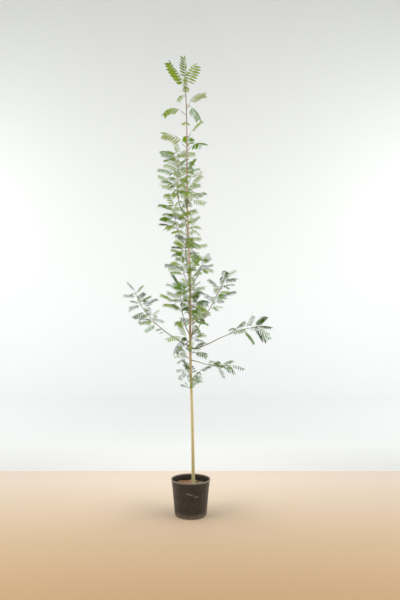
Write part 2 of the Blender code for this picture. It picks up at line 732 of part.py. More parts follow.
def make_pot(parts, cutters):
    """The nursery pot, with drainage slots round its foot."""
    collar_foot = POT_HEIGHT - POT_COLLAR_DEPTH
    body_top = POT_FOOT_RADIUS + POT_BODY_FLARE
    collar_low = body_top + POT_COLLAR_STEP
    profile = [
        (0.0, POT_FLOOR),
        (pot_inner_radius(POT_FLOOR), POT_FLOOR),
        (pot_inner_radius(collar_foot), collar_foot - POT_COLLAR_STEP),
        (collar_low - POT_WALL, collar_foot),
        (POT_COLLAR_RADIUS - POT_WALL, POT_HEIGHT - POT_EDGE),
        (POT_COLLAR_RADIUS - POT_WALL + POT_EDGE, POT_HEIGHT),
        (POT_RIM_RADIUS - POT_EDGE, POT_HEIGHT),
        (POT_RIM_RADIUS, POT_HEIGHT - POT_EDGE),
        (POT_RIM_RADIUS, POT_HEIGHT - POT_LIP_DROP),
        (POT_COLLAR_RADIUS, POT_HEIGHT - POT_LIP_DROP),
        (collar_low, collar_foot + POT_EDGE),
        (body_top, collar_foot - POT_COLLAR_STEP),
        (POT_FOOT_RADIUS + POT_EDGE, POT_FOOT_CHAMFER * 2),
        (POT_FOOT_RADIUS - POT_FOOT_CHAMFER, 0.0),
        (0.0, 0.0),
    ]
    profile.reverse()
    pot = turned("pot", profile, POT_SIDES, parts)
    slots = bpy.data.collections.new("Drainage slots")
    cutters.children.link(slots)
    for i in range(DRAIN_COUNT):
        turn = 2 * math.pi * (i + 0.5) / DRAIN_COUNT
        bpy.ops.mesh.primitive_cube_add(size=1.0)
        slot = bpy.context.object
        slot.name = f"drain_slot_{i + 1}"
        slot.scale = (DRAIN_DEPTH * 2, DRAIN_WIDTH, DRAIN_HEIGHT * 2)
        slot.rotation_euler = (0.0, 0.0, turn)
        slot.location = (POT_FOOT_RADIUS * math.cos(turn), POT_FOOT_RADIUS * math.sin(turn), 0.0)
        slot.display_type = "WIRE"
        slot.hide_render = True
        for collection in list(slot.users_collection):
            collection.objects.unlink(slot)
        slots.objects.link(slot)
    cut = pot.modifiers.new("drainage", "BOOLEAN")
    cut.operation = "DIFFERENCE"
    cut.solver = "EXACT"
    cut.operand_type = "COLLECTION"
    cut.collection = slots
    pot = settle(pot)
    finish(pot, *POT_FINISH)
    smooth(pot.data, POT_SHARP_EDGE)


def compost_height(x, y):
    """Height of the compost's uneven top, level under the trunk and settled at the wall."""
    trunk = trunk_centre(TRUNK_FOOT)
    away = math.hypot(x - trunk.x, y - trunk.y)
    easing = min(1.0, max(0.0, (away - COMPOST_PAD) / COMPOST_PAD))
    wave_x, wave_y, ripple_x, ripple_y = COMPOST_WAVES
    swell = math.sin(wave_x * x + COMPOST_STARTS[0]) * math.cos(wave_y * y + COMPOST_STARTS[1])
    swell += COMPOST_RIPPLE * math.sin(ripple_x * x - ripple_y * y)
    return COMPOST_TOP + easing * COMPOST_SWELL * (swell - COMPOST_SETTLE)


def make_compost(parts):
    """The compost that fills the pot."""
    foot = POT_FLOOR + GAP
    top_edge = pot_inner_radius(COMPOST_TOP) - COMPOST_SIDE_ROOM
    profile = [(0.0, COMPOST_TOP), (COMPOST_PAD, COMPOST_TOP)]
    profile += [(radius, COMPOST_TOP) for radius in COMPOST_RINGS]
    profile += [(top_edge, COMPOST_TOP - 2 * COMPOST_SWELL)]
    profile += [(pot_inner_radius(foot) - COMPOST_FOOT_ROOM, foot), (0.0, foot)]
    compost = settle(turned("compost", profile, COMPOST_SIDES, parts))
    for vert in compost.data.vertices:
        if vert.co.z > COMPOST_TOP - COMPOST_SWELL:
            vert.co.z = compost_height(vert.co.x, vert.co.y)
    finish(compost, *COMPOST_FINISH)
    smooth(compost.data, SHARP_EDGE)


def main():
    for thing in list(bpy.data.objects):
        bpy.data.objects.remove(thing, do_unlink=True)
    parts = bpy.data.collections.new("Rowan tree")
    cutters = bpy.data.collections.new("Cutters")
    spare = bpy.data.collections.new("Fused leaves")
    for collection in (parts, cutters, spare):
        bpy.context.scene.collection.children.link(collection)
    make_pot(parts, cutters)
    make_compost(parts)
    room = make_trunk(parts, cutters)
    rows = grow_all()
    for row in rows:
        if row["bare"]:
            make_bough(row, parts, room)
        make_mass(row, parts, spare, room)
    bpy.data.collections.remove(spare)


if __name__ == "__main__":
    main()
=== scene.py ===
"""Young container-grown rowan, about 3.3 m tall, dressed for a studio photograph.

Metres, +Z up. The origin is the centre of the pot's flat underside. Compass
directions are in degrees: 0 is +X, 90 is +Y, 180 is -X and 270 is -Y.
"""

import math
import random

import bmesh
import bpy
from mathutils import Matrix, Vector, noise
from mathutils.bvhtree import BVHTree


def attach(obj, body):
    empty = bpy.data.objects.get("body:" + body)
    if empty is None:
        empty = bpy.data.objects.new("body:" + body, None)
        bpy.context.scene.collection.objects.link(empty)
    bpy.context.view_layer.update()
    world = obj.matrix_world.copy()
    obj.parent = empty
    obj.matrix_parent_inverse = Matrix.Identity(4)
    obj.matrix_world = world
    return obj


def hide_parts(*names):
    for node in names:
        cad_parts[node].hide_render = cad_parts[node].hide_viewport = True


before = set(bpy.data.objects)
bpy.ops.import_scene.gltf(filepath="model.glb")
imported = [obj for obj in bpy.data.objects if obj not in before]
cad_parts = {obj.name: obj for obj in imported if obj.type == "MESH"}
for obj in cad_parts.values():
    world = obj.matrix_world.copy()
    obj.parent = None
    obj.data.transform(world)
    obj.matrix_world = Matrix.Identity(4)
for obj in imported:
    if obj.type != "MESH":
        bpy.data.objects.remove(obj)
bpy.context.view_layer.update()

# Nursery pot. Black polypropylene, injection moulded in one shot: a thin tapering wall with
# fine upright ribs, a stiffer collar under a rolled lip, and slots round the foot that let
# water out. It stands on its own flat underside.
POT_HEIGHT = 0.260
POT_RIM_RADIUS = 0.140
POT_FOOT_RADIUS = 0.111
POT_COLLAR_RADIUS = 0.1345
POT_COLLAR_DEPTH = 0.050
POT_COLLAR_STEP = 0.0025
POT_BODY_FLARE = 0.0205
POT_WALL = 0.0022
POT_FLOOR = 0.0030
POT_LIP_DROP = 0.011
POT_LIP_ROUND = 0.0014
POT_EDGE = 0.0015
POT_FOOT_CHAMFER = 0.004
POT_SIDES = 288
POT_SHARP = 32
ROUND_STEPS = 4
ROUND_MOST = 0.45
RIB_COUNT = 48
RIB_RELIEF = 0.0011
RIB_ROUND = 0.6
RIB_FOOT = 0.020
RIB_FOOT_TAPER = 0.06
DRAIN_COUNT = 12
DRAIN_WIDTH = 0.016
DRAIN_HEIGHT = 0.011
DRAIN_DEPTH = 0.010
DRAIN_CORNER = 0.0025
DUST_FOOT = (0.042, 0.006)
# Band under the rim: dust and a painted highlight on the rolled lip.
LIP_DUST_AND_HIGHLIGHT = (0.0105, 0.0045)


def from_hex(code):
    """Linear RGBA of an sRGB hex colour."""
    channels = [int(code[i:i + 2], 16) / 255 for i in (1, 3, 5)]
    linear = [c / 12.92 if c <= 0.04045 else ((c + 0.055) / 1.055) ** 2.4 for c in channels]
    return (*linear, 1.0)


def scale_of(millimetres):
    """Texture scale that gives a pattern this size in object coordinates."""
    return 1000 / millimetres


def feed(node, inputs):
    """Give a node's inputs a value each, or a link from a socket or from a node's result."""
    for name, source in inputs.items():
        if isinstance(source, bpy.types.Node):
            source = next(result for result in source.outputs if result.enabled)
        if isinstance(source, bpy.types.NodeSocket):
            node.id_data.links.new(source, node.inputs[name])
        else:
            node.inputs[name].default_value = source


def add_node(tree, kind, inputs=None, stops=(), **settings):
    """Add a node with its settings, the values and links of its inputs, and its colour stops."""
    added = tree.nodes.new("ShaderNode" + kind)
    for name, value in settings.items():
        setattr(added, name, value)
    feed(added, inputs or {})
    for i, (place, code) in enumerate(stops):
        band = added.color_ramp.elements
        stop = band[i] if i < 2 else band.new(place)
        stop.position = place
        stop.color = from_hex(code)
    return added


def new_material(name, roughness, ior=1.45, base="#808080"):
    """Material, its node tree and its shader, with the finish that is the same all over."""
    material = bpy.data.materials.new(name)
    material.use_nodes = True
    tree = material.node_tree
    shader = tree.nodes["Principled BSDF"]
    feed(shader, {"Base Color": from_hex(base), "Roughness": roughness, "IOR": ior})
    return material, tree, shader


def link_mesh(name, points, faces, materials):
    """Smooth object made of points and faces."""
    mesh = bpy.data.meshes.new(name)
    mesh.from_pydata([tuple(point) for point in points], [], faces)
    for material in materials:
        mesh.materials.append(material)
    mesh.shade_smooth()
    made = bpy.data.objects.new(name, mesh)
    bpy.context.scene.collection.objects.link(made)
    return made


def add_piece(name, shape, materials, sharp=None):
    """Piece from points, faces and slots that rides on the plant, creased past a sharp angle."""
    points, faces, slots = shape
    piece = link_mesh(name, points, faces, materials)
    if slots:
        piece.data.polygons.foreach_set("material_index", slots)
    if sharp is not None:
        piece.data.set_sharp_from_angle(angle=math.radians(sharp))
    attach(piece, "root")
    return piece


def turns(count):
    """Even turns round a ring, in radians."""
    return [2 * math.pi * k / count for k in range(count)]


def rounded(profile, radius):
    """Profile with each inner corner turned into a short arc."""
    line = [profile[0]]
    for before, here, after in zip(profile, profile[1:], profile[2:]):
        here = Vector(here)
        back = Vector(before) - here
        on = Vector(after) - here
        reach = min(radius, back.length * ROUND_MOST, on.length * ROUND_MOST)
        start = here + back.normalized() * reach
        end = here + on.normalized() * reach
        for i in range(ROUND_STEPS + 1):
            share = i / ROUND_STEPS
            line.append(tuple(start.lerp(here, share).lerp(here.lerp(end, share), share)))
    return line + [profile[-1]]


def pot_inner_radius(height):
    """Inner radius of the pot's tapering body at a height."""
    share = height / (POT_HEIGHT - POT_COLLAR_DEPTH)
    return POT_FOOT_RADIUS + POT_BODY_FLARE * min(1.0, share) - POT_WALL


def turned(profile, sides, relief):
    """Closed solid of revolution whose profile starts and ends on the axis."""
    points = [(0.0, 0.0, profile[0][1])]
    rings = profile[1:-1]
    for radius, height in rings:
        for turn in turns(sides):
            wide = radius + relief(radius, height, turn)
            points.append((wide * math.cos(turn), wide * math.sin(turn), height))
    points.append((0.0, 0.0, profile[-1][1]))
    faces = []
    last = len(points) - 1
    for k in range(sides):
        beside = (k + 1) % sides
        faces.append((0, 1 + beside, 1 + k))
        faces.append((last, last - sides + k, last - sides + beside))
        for i in range(len(rings) - 1):
            low = 1 + i * sides
            faces.append((low + k, low + beside, low + sides + beside, low + sides + k))
    return points, faces, []


collar_foot = POT_HEIGHT - POT_COLLAR_DEPTH
foot_edge = POT_FOOT_RADIUS + POT_EDGE
body_top = POT_FOOT_RADIUS + POT_BODY_FLARE
collar_low = body_top + POT_COLLAR_STEP
pot_profile = [
    (0.0, 0.0),
    (POT_FOOT_RADIUS - POT_FOOT_CHAMFER, 0.0),
    (foot_edge, POT_FOOT_CHAMFER * 2),
    (foot_edge + (body_top - foot_edge) * RIB_FOOT_TAPER, RIB_FOOT),
    (body_top, collar_foot - POT_COLLAR_STEP),
    (collar_low, collar_foot + POT_EDGE),
    (POT_COLLAR_RADIUS, POT_HEIGHT - POT_LIP_DROP),
    (POT_RIM_RADIUS, POT_HEIGHT - POT_LIP_DROP),
    (POT_RIM_RADIUS, POT_HEIGHT),
    (POT_COLLAR_RADIUS - POT_WALL, POT_HEIGHT),
    (collar_low - POT_WALL, collar_foot),
    (pot_inner_radius(collar_foot), collar_foot - POT_COLLAR_STEP),
    (pot_inner_radius(POT_FLOOR), POT_FLOOR),
    (0.0, POT_FLOOR),
]


def rib_relief(radius, height, turn):
    """Upright ribs on the outside of the body, between the foot and the collar."""
    outer = POT_FOOT_RADIUS + POT_BODY_FLARE * height / collar_foot
    on_body = RIB_FOOT * 0.8 < height < collar_foot - POT_COLLAR_STEP * 2
    if not on_body or radius < outer - POT_WALL / 2:
        return 0.0
    return RIB_RELIEF * max(0.0, math.cos(RIB_COUNT * turn)) ** RIB_ROUND


# Polypropylene, injection moulded: near black and slightly brown, satin, with a fine eggshell
# grain. Dried soil greys the foot, the rolled lip is paler, partly with dust and partly with a
# painted highlight, and two thin smears lie in front.
polypropylene, tree, shader = new_material("polypropylene_moulded", 0.40, 1.49)
place = add_node(tree, "TexCoord").outputs["Object"]
height = add_node(tree, "SeparateXYZ", {"Vector": place}).outputs["Z"]
clouds = add_node(tree, "TexNoise", {"Vector": place, "Scale": scale_of(35), "Detail": 5.0})
grain = add_node(tree, "TexNoise", {"Vector": place, "Scale": scale_of(1.2), "Detail": 3.0})
specks = add_node(
    tree, "TexNoise", {"Vector": place, "Scale": scale_of(7), "Detail": 6.0, "Roughness": 0.7}
)
plastic = add_node(tree, "ValToRGB", {"Fac": clouds}, ((0.35, "#25211e"), (0.70, "#37332e")))
foot_dust = add_node(
    tree, "MapRange",
    {"Value": height, "From Min": DUST_FOOT[0], "From Max": DUST_FOOT[1], "To Max": 0.95},
)
# The rolled lip: paler partly with dust, partly with a painted highlight along its edge.
lip_dust_and_highlight = add_node(
    tree, "MapRange",
    {"Value": height, "From Min": POT_HEIGHT - LIP_DUST_AND_HIGHLIGHT[0], "From Max": POT_HEIGHT - LIP_DUST_AND_HIGHLIGHT[1],
     "To Max": 0.62},
)
flecks = add_node(tree, "MapRange", {"Value": specks, "From Min": 0.42, "From Max": 0.62})
foot_specks = add_node(tree, "Math", {0: foot_dust, 1: flecks}, operation="MULTIPLY")
dust_and_lip_highlight = add_node(tree, "Math", {0: foot_specks, 1: lip_dust_and_highlight}, operation="MAXIMUM")
broken = add_node(tree, "MapRange", {"Value": specks, "From Min": 0.38, "From Max": 0.56})
for centre, half, tilt in (
    ((-0.008, -0.128, 0.180), (0.030, 0.030, 0.0050), 17),
    ((0.038, -0.124, 0.163), (0.017, 0.030, 0.0045), -6),
):
    shifted = add_node(tree, "VectorMath", {0: place, 1: centre}, operation="SUBTRACT")
    levelled = add_node(
        tree, "VectorRotate", {"Vector": shifted, "Angle": math.radians(-tilt)}, rotation_type="Y_AXIS"
    )
    shrunk = add_node(tree, "VectorMath", {0: levelled, 1: half}, operation="DIVIDE")
    away = add_node(tree, "VectorMath", {0: shrunk}, operation="LENGTH")
    ragged = add_node(tree, "MapRange", {"Value": away, "From Min": 1.1, "From Max": 0.5})
    smear = add_node(tree, "Math", {0: ragged, 1: broken}, operation="MULTIPLY")
    dust_and_lip_highlight = add_node(tree, "Math", {0: dust_and_lip_highlight, 1: smear}, operation="MAXIMUM")
dirty_and_highlit = add_node(tree, "Mix", {"Factor": dust_and_lip_highlight, "A": plastic, "B": from_hex("#9a9384")}, data_type="RGBA")
dull = add_node(tree, "MapRange", {"Value": dust_and_lip_highlight, "To Min": 0.38, "To Max": 0.85})
bump = add_node(tree, "Bump", {"Height": grain, "Strength": 0.25, "Distance": 0.0003})
feed(shader, {"Base Color": dirty_and_highlit, "Roughness": dull, "Normal": bump})

pot_shape = turned(rounded(pot_profile, POT_LIP_ROUND), POT_SIDES, rib_relief)
pot = add_piece("nursery_pot", pot_shape, [polypropylene])
cutters = []
for i in range(DRAIN_COUNT):
    turn = 2 * math.pi * (i + 0.5) / DRAIN_COUNT
    box = bmesh.new()
    bmesh.ops.create_cube(box, size=1.0)
    bmesh.ops.scale(box, vec=(DRAIN_DEPTH * 2, DRAIN_WIDTH, DRAIN_HEIGHT * 2), verts=box.verts)
    uprights = [e for e in box.edges if abs(e.verts[0].co.x - e.verts[1].co.x) > DRAIN_DEPTH]
    bmesh.ops.bevel(box, geom=uprights, offset=DRAIN_CORNER, segments=3, affect="EDGES")
    mesh = bpy.data.meshes.new("slot_cutter")
    box.to_mesh(mesh)
    box.free()
    cutter = bpy.data.objects.new("slot_cutter", mesh)
    cutter.rotation_euler = (0.0, 0.0, turn)
    cutter.location = (POT_FOOT_RADIUS * math.cos(turn), POT_FOOT_RADIUS * math.sin(turn), 0.0)
    bpy.context.scene.collection.objects.link(cutter)
    cut = pot.modifiers.new("drainage", "BOOLEAN")
    cut.operation = "DIFFERENCE"
    cut.solver = "EXACT"
    cut.object = cutter
    cutters.append(cutter)
slotted = pot.evaluated_get(bpy.context.evaluated_depsgraph_get())
pot.data = bpy.data.meshes.new_from_object(slotted)
pot.modifiers.clear()
pot.data.shade_smooth()
pot.data.set_sharp_from_angle(angle=math.radians(POT_SHARP))
for cutter in cutters:
    bpy.data.objects.remove(cutter)
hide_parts("pot")


# Potting compost. Milled peat and composted bark, filled to a little under the rim: bark
# chips lie loose on it, redder on the left, and moss has grown on the right and along the
# front edge. It lies level round the trunk, so the trunk's line is here.
GAP = 0.0003
COMPOST_TOP = 0.216
COMPOST_SWELL = 0.0035
COMPOST_PAD = 0.024
COMPOST_RELIEF = 0.0016
COMPOST_CLEARANCE = 0.0006
COMPOST_RINGS = 44
COMPOST_SIDES = 150
CHIP_COUNT = 620
CHIP_SIZES = (0.004, 0.013)
CHIP_SEAT = 0.0008
CHIP_EDGE = 0.006
CHIP_TAN = 0.35
CHIP_SEED = 11
MOSS_COUNT = 520
MOSS_BLADES = 7
MOSS_TURN = (-40, 55)
MOSS_EDGE = 0.005
MOSS_CLEARANCE = 0.004
MOSS_LEAF = 0.0006
MOSS_HEIGHTS = (0.0016, 0.0042)

TRUNK_FOOT = COMPOST_TOP + GAP
TRUNK_TOP = 3.020
TRUNK_FOOT_X = 0.0193
TRUNK_LEAN = 0.0200
TRUNK_SWAY = 0.0040
TRUNK_SWAY_PITCH = 1.15
TRUNK_SWAY_RATIO = 0.7
TRUNK_SWAY_START = 1.0
TRUNK_FOOT_RADIUS = 0.0122
TRUNK_TOP_RADIUS = 0.0030
TRUNK_TAPER = 0.90
TRUNK_FLARE = 0.0045
TRUNK_FLARE_HEIGHT = 0.020


def trunk_centre(height):
    """Centre of the trunk at a height."""
    climb = height - TRUNK_FOOT
    wave = 2 * math.pi * climb / TRUNK_SWAY_PITCH
    easing = min(1.0, climb / TRUNK_SWAY_PITCH)
    return Vector((
        TRUNK_FOOT_X - TRUNK_LEAN * climb + TRUNK_SWAY * easing * math.sin(wave),
        TRUNK_SWAY * easing * math.sin(wave * TRUNK_SWAY_RATIO + TRUNK_SWAY_START),
        height,
    ))


def trunk_radius(height):
    """Radius of the trunk at a height, with the root flare at its foot."""
    climb = height - TRUNK_FOOT
    share = climb / (TRUNK_TOP - TRUNK_FOOT)
    taper = TRUNK_FOOT_RADIUS + (TRUNK_TOP_RADIUS - TRUNK_FOOT_RADIUS) * share ** TRUNK_TAPER
    return taper + TRUNK_FLARE * math.exp(-climb / TRUNK_FLARE_HEIGHT)


def from_trunk(x, y):
    """Distance from the middle of the trunk's foot."""
    trunk = trunk_centre(TRUNK_FOOT)
    return math.hypot(x - trunk.x, y - trunk.y)


def compost_height(x, y):
    """Height of the compost's crumbly top, level under the trunk and uneven away from it."""
    easing = min(1.0, max(0.0, (from_trunk(x, y) - COMPOST_PAD * 0.75) / COMPOST_PAD))
    swell = math.sin(61 * x + 0.6) * math.cos(53 * y + 1.1) + 0.4 * math.sin(117 * x - 89 * y)
    crumbs = noise.noise(Vector((x, y, 0.0)) * 130) + 0.6 * noise.noise(Vector((x, y, 0.3)) * 310)
    return COMPOST_TOP + easing * (COMPOST_SWELL * (swell - 0.35) + COMPOST_RELIEF * crumbs)


def on_compost(radius, turn, lift=0.0):
    """Point on the compost at a distance from its middle and a turn round it, or a lift above."""
    x, y = radius * math.cos(turn), radius * math.sin(turn)
    return Vector((x, y, compost_height(x, y) + lift))


def up(height):
    """Vector straight up."""
    return Vector((0.0, 0.0, height))


def outward(turn, rise=0.0):
    """Vector that points out level at a turn, or lifted by a rise."""
    return Vector((math.cos(turn), math.sin(turn), rise))


def crosswise(turn, rise=0.0):
    """Vector a quarter turn on from the one that points out."""
    return Vector((-math.sin(turn), math.cos(turn), rise))


def chip(rng, centre, size):
    """One splintered chip: a skewed slab with no two sides alike."""
    spin = rng.uniform(0, 2 * math.pi)
    lengthwise = outward(spin, rng.uniform(-0.3, 0.3))
    across = crosswise(spin, rng.uniform(-0.3, 0.3))
    half = (size * 0.5, size * rng.uniform(0.16, 0.30), size * rng.uniform(0.05, 0.11))
    points = []
    for side in (-1, 1):
        for a, b in ((-1, -1), (1, -1), (1, 1), (-1, 1)):
            shrink = 1 - 0.25 * (side > 0) * rng.random()
            corner = lengthwise * a * half[0] * shrink * rng.uniform(0.65, 1.0)
            corner += across * b * half[1] * shrink * rng.uniform(0.5, 1.0)
            points.append(centre + corner + up(side * half[2]))
    return points, [(3, 2, 1, 0), (4, 5, 6, 7), (0, 1, 5, 4), (1, 2, 6, 5), (2, 3, 7, 6), (3, 0, 4, 7)]


def gather(shape, points, faces, slot=0):
    """Add points and faces to the points, faces and slots of a joined shape."""
    first = len(shape[0])
    shape[0].extend(points)
    shape[1].extend(tuple(first + i for i in face) for face in faces)
    shape[2].extend([slot] * len(faces))


# Potting compost, milled and watered in: matt, crumbly, brown with a red cast on the left,
# and a thin green film of algae on the right.
compost_mix, tree, shader = new_material("potting_compost_milled", 0.92)
place = add_node(tree, "TexCoord").outputs["Object"]
right = add_node(tree, "SeparateXYZ", {"Vector": place}).outputs["X"]
crumb = add_node(
    tree, "TexNoise", {"Vector": place, "Scale": scale_of(4), "Detail": 8.0, "Roughness": 0.72}
)
soil = add_node(tree, "ValToRGB", {"Fac": crumb}, ((0.32, "#5e4433"), (0.72, "#cda68a"), (0.52, "#ab7f65")))
film = add_node(tree, "ValToRGB", {"Fac": crumb}, ((0.32, "#3f3b22"), (0.75, "#a19a6e"), (0.52, "#6f6b41")))
damp = add_node(tree, "MapRange", {"Value": right, "From Min": -0.020, "From Max": 0.055})
green = add_node(tree, "Mix", {"Factor": damp, "A": soil, "B": film}, data_type="RGBA")
bump = add_node(tree, "Bump", {"Height": crumb, "Strength": 0.9, "Distance": 0.0015})
feed(shader, {"Base Color": green, "Normal": bump})

wall = pot_inner_radius(COMPOST_TOP) - GAP - COMPOST_CLEARANCE
foot = POT_FLOOR + GAP
compost_points = [on_compost(0.0, 0.0)]
for i in range(1, COMPOST_RINGS + 1):
    compost_points += [on_compost(wall * i / COMPOST_RINGS, turn) for turn in turns(COMPOST_SIDES)]
radius = pot_inner_radius(foot) - 2 * GAP
for turn in turns(COMPOST_SIDES):
    compost_points.append((radius * math.cos(turn), radius * math.sin(turn), foot))
compost_faces = []
for k in range(COMPOST_SIDES):
    beside = (k + 1) % COMPOST_SIDES
    compost_faces.append((0, 1 + k, 1 + beside))
    for i in range(COMPOST_RINGS):
        low = 1 + i * COMPOST_SIDES
        on = low + COMPOST_SIDES
        compost_faces.append((low + k, on + k, on + beside, low + beside))
foot_ring = 1 + COMPOST_RINGS * COMPOST_SIDES
compost_faces.append(tuple(reversed(range(foot_ring, foot_ring + COMPOST_SIDES))))
compost = add_piece("compost_fill", (compost_points, compost_faces, []), [compost_mix], sharp=60)
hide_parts("compost")


def mottled_material(name, roughness, size, detail, stops):
    """Material whose colour wanders between two tones in blotches of a size in millimetres."""
    material, tree, shader = new_material(name, roughness)
    place = add_node(tree, "TexCoord").outputs["Object"]
    blotches = add_node(tree, "TexNoise", {"Vector": place, "Scale": scale_of(size), "Detail": detail})
    feed(shader, {"Base Color": add_node(tree, "ValToRGB", {"Fac": blotches}, stops)})
    return material


# Pine bark, chipped and weathered: matt split faces, from red brown to silver tan.
chip_red = mottled_material("pine_bark_chipped", 0.85, 3, 4.0, ((0.3, "#8c5e48"), (0.7, "#d39f82")))
chip_tan = mottled_material("pine_bark_weathered", 0.88, 3, 4.0, ((0.3, "#a3907a"), (0.7, "#dccfb6")))

rng = random.Random(CHIP_SEED)
chips = ([], [], [])
for _ in range(CHIP_COUNT):
    radius = (wall - CHIP_EDGE) * math.sqrt(rng.random())
    seat = on_compost(radius, rng.uniform(0, 2 * math.pi), CHIP_SEAT)
    size = rng.uniform(*CHIP_SIZES)
    if from_trunk(seat.x, seat.y) < trunk_radius(TRUNK_FOOT) + size:
        continue
    gather(chips, *chip(rng, seat, size), int(rng.random() < CHIP_TAN + 4 * seat.x))
bark_chips = add_piece("bark_chips", chips, [chip_red, chip_tan], sharp=30)
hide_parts("compost")

# Moss, living: soft matt cushions of fine pointed leaves, in patches of olive and yellow green.
moss_green = mottled_material("moss_living", 0.90, 9, 3.0, ((0.35, "#6c6f36"), (0.68, "#b3b287")))

cushions = ([], [], [])
for _ in range(MOSS_COUNT):
    turn = math.radians(rng.gauss(*MOSS_TURN))
    root = on_compost((wall - MOSS_EDGE) * rng.uniform(0.35, 1.0) ** 0.6, turn, -MOSS_LEAF)
    if from_trunk(root.x, root.y) < trunk_radius(TRUNK_FOOT) + MOSS_CLEARANCE:
        continue
    for even in turns(MOSS_BLADES):
        spin = even + rng.uniform(-0.4, 0.4)
        lean = outward(spin)
        across = crosswise(spin) * MOSS_LEAF
        tall = rng.uniform(*MOSS_HEIGHTS)
        gather(
            cushions,
            [root + across + lean * MOSS_LEAF, root - across + lean * MOSS_LEAF,
             root - lean * MOSS_LEAF, root + lean * tall * 0.8 + up(tall)],
            [(0, 1, 3), (1, 2, 3), (2, 0, 3), (0, 2, 1)],
        )
moss = add_piece("moss", cushions, [moss_green], sharp=60)
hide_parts("compost")


# The plan of the shoots. Each row says where a shoot leaves the trunk, how it runs and what
# it bears: fifteen long ones, the short spurs between them, and the leader at the top. The
# trunk's collars, the limbs and the leaves are all made from it.
SHOOT_STEPS = 24
SHOOT_TIP_RADIUS = 0.0013
SHOOT_TAPER = 0.85
SHOOT_MOST_HIDDEN = 0.6
LOOK_AHEAD = 0.02
SPUR_LONGEST = 0.1
SPUR_RADIUS = 0.0019
SPUR_TURN = 8
END_RING = 0.002
TWIG_POINTS = 4
TWIG_LENGTH = 0.075
TWIG_RADIUS = 0.0016
TWIG_PLACES = (0.25, 0.60)
TWIG_SPREAD = 48
TWIG_TURN = 60
TWIG_LIFT = 0.35
TWIG_RISE = 0.012
TWIG_SEATS = (-3, -2, -1)
SPIRAL_TURN = 137.5
NEARLY_UPRIGHT = 0.05
TEST_SIDES = 6
TEST_POINTS = 13
TRUNK_TEST_POINTS = 25


def shoot(name, height, compass, rises, length, bare, foot, leaves, leaf, twigs=0, turn=0, free=True):
    """One row of the plan: where a shoot leaves the trunk, how it runs and what it bears."""
    return dict(
        name=name, height=height, compass=compass, rises=rises, length=length, bare=bare, foot=foot,
        leaves=leaves, leaf=leaf, twigs=twigs, turn=turn, free=free, spread=(62, 44), droop=1.0,
        crowding=0.9, face=22, lift=0.30,
    )


BOUGHS = (
    shoot("left_long", 1.200, (178, 183), (26, 36, 50, 72), 0.570, 0.34, 0.0042, 10, 0.135, 1, 40),
    shoot("right_long", 1.186, (-8, 4), (8, 28, 18, 8), 0.520, 0.40, 0.0044, 8, 0.150, 1, 0),
    shoot("right_upper", 1.275, (4, -10), (44, 60, 62, 66), 0.480, 0.42, 0.0042, 8, 0.135, 1, 60),
    shoot("right_low", 1.105, (-25, -10), (-6, -18, 2, -2), 0.290, 0.34, 0.0034, 6, 0.120, 1, 0),
    shoot("left_upright", 1.290, (170, 182), (50, 80, 84, 86), 0.340, 0.30, 0.0038, 8, 0.150, 1, 90),
    shoot("right_upright", 1.626, (8, -8), (48, 66, 72), 0.200, 0.30, 0.0032, 6, 0.140, 0, 20),
    shoot("left_middle", 1.640, (184, 200), (52, 80), 0.150, 0.30, 0.0030, 4, 0.145, 0, 10),
    shoot("left_inner", 1.790, (176, 150), (55, 88, 94, 80), 0.250, 0.30, 0.0032, 6, 0.140, 0, 146, False),
    shoot("left_outer", 1.900, (186, 180), (42, 74, 90), 0.300, 0.36, 0.0032, 7, 0.160, 1, 30),
    shoot("left_crown", 2.130, (180, 178), (38, 78, 92, 90, 92), 0.460, 0.20, 0.0038, 14, 0.155, 2, 60),
    shoot("back_low", 1.240, (78, 92), (30, 50, 62), 0.360, 0.36, 0.0038, 7, 0.145, 1, 10, False),
    shoot("front_middle", 1.420, (262, 282), (40, 62, 74), 0.260, 0.34, 0.0032, 5, 0.145, 0, 70, False),
    shoot("back_middle", 1.700, (112, 84), (40, 60, 72), 0.300, 0.34, 0.0034, 6, 0.145, 1, 50, False),
    shoot("front_upper", 1.960, (262, 240), (42, 66, 80), 0.220, 0.32, 0.0030, 4, 0.140, 0, 30, False),
    shoot("back_upper", 2.150, (100, 110), (44, 70, 82), 0.240, 0.32, 0.0030, 5, 0.145, 0, 100, False),
)


def spur(name, height, compass, rise, leaves, leaf, length=0.035, droop=1.0, face=22):
    """A short shoot with no bare limb of its own, straight out of the trunk."""
    rises = (rise, rise + SPUR_TURN)
    row = shoot(name, height, (compass, compass), rises, length, 0, SPUR_RADIUS, leaves, leaf, 0, 90, False)
    row.update(droop=droop, face=face, lift=0.0)
    return row


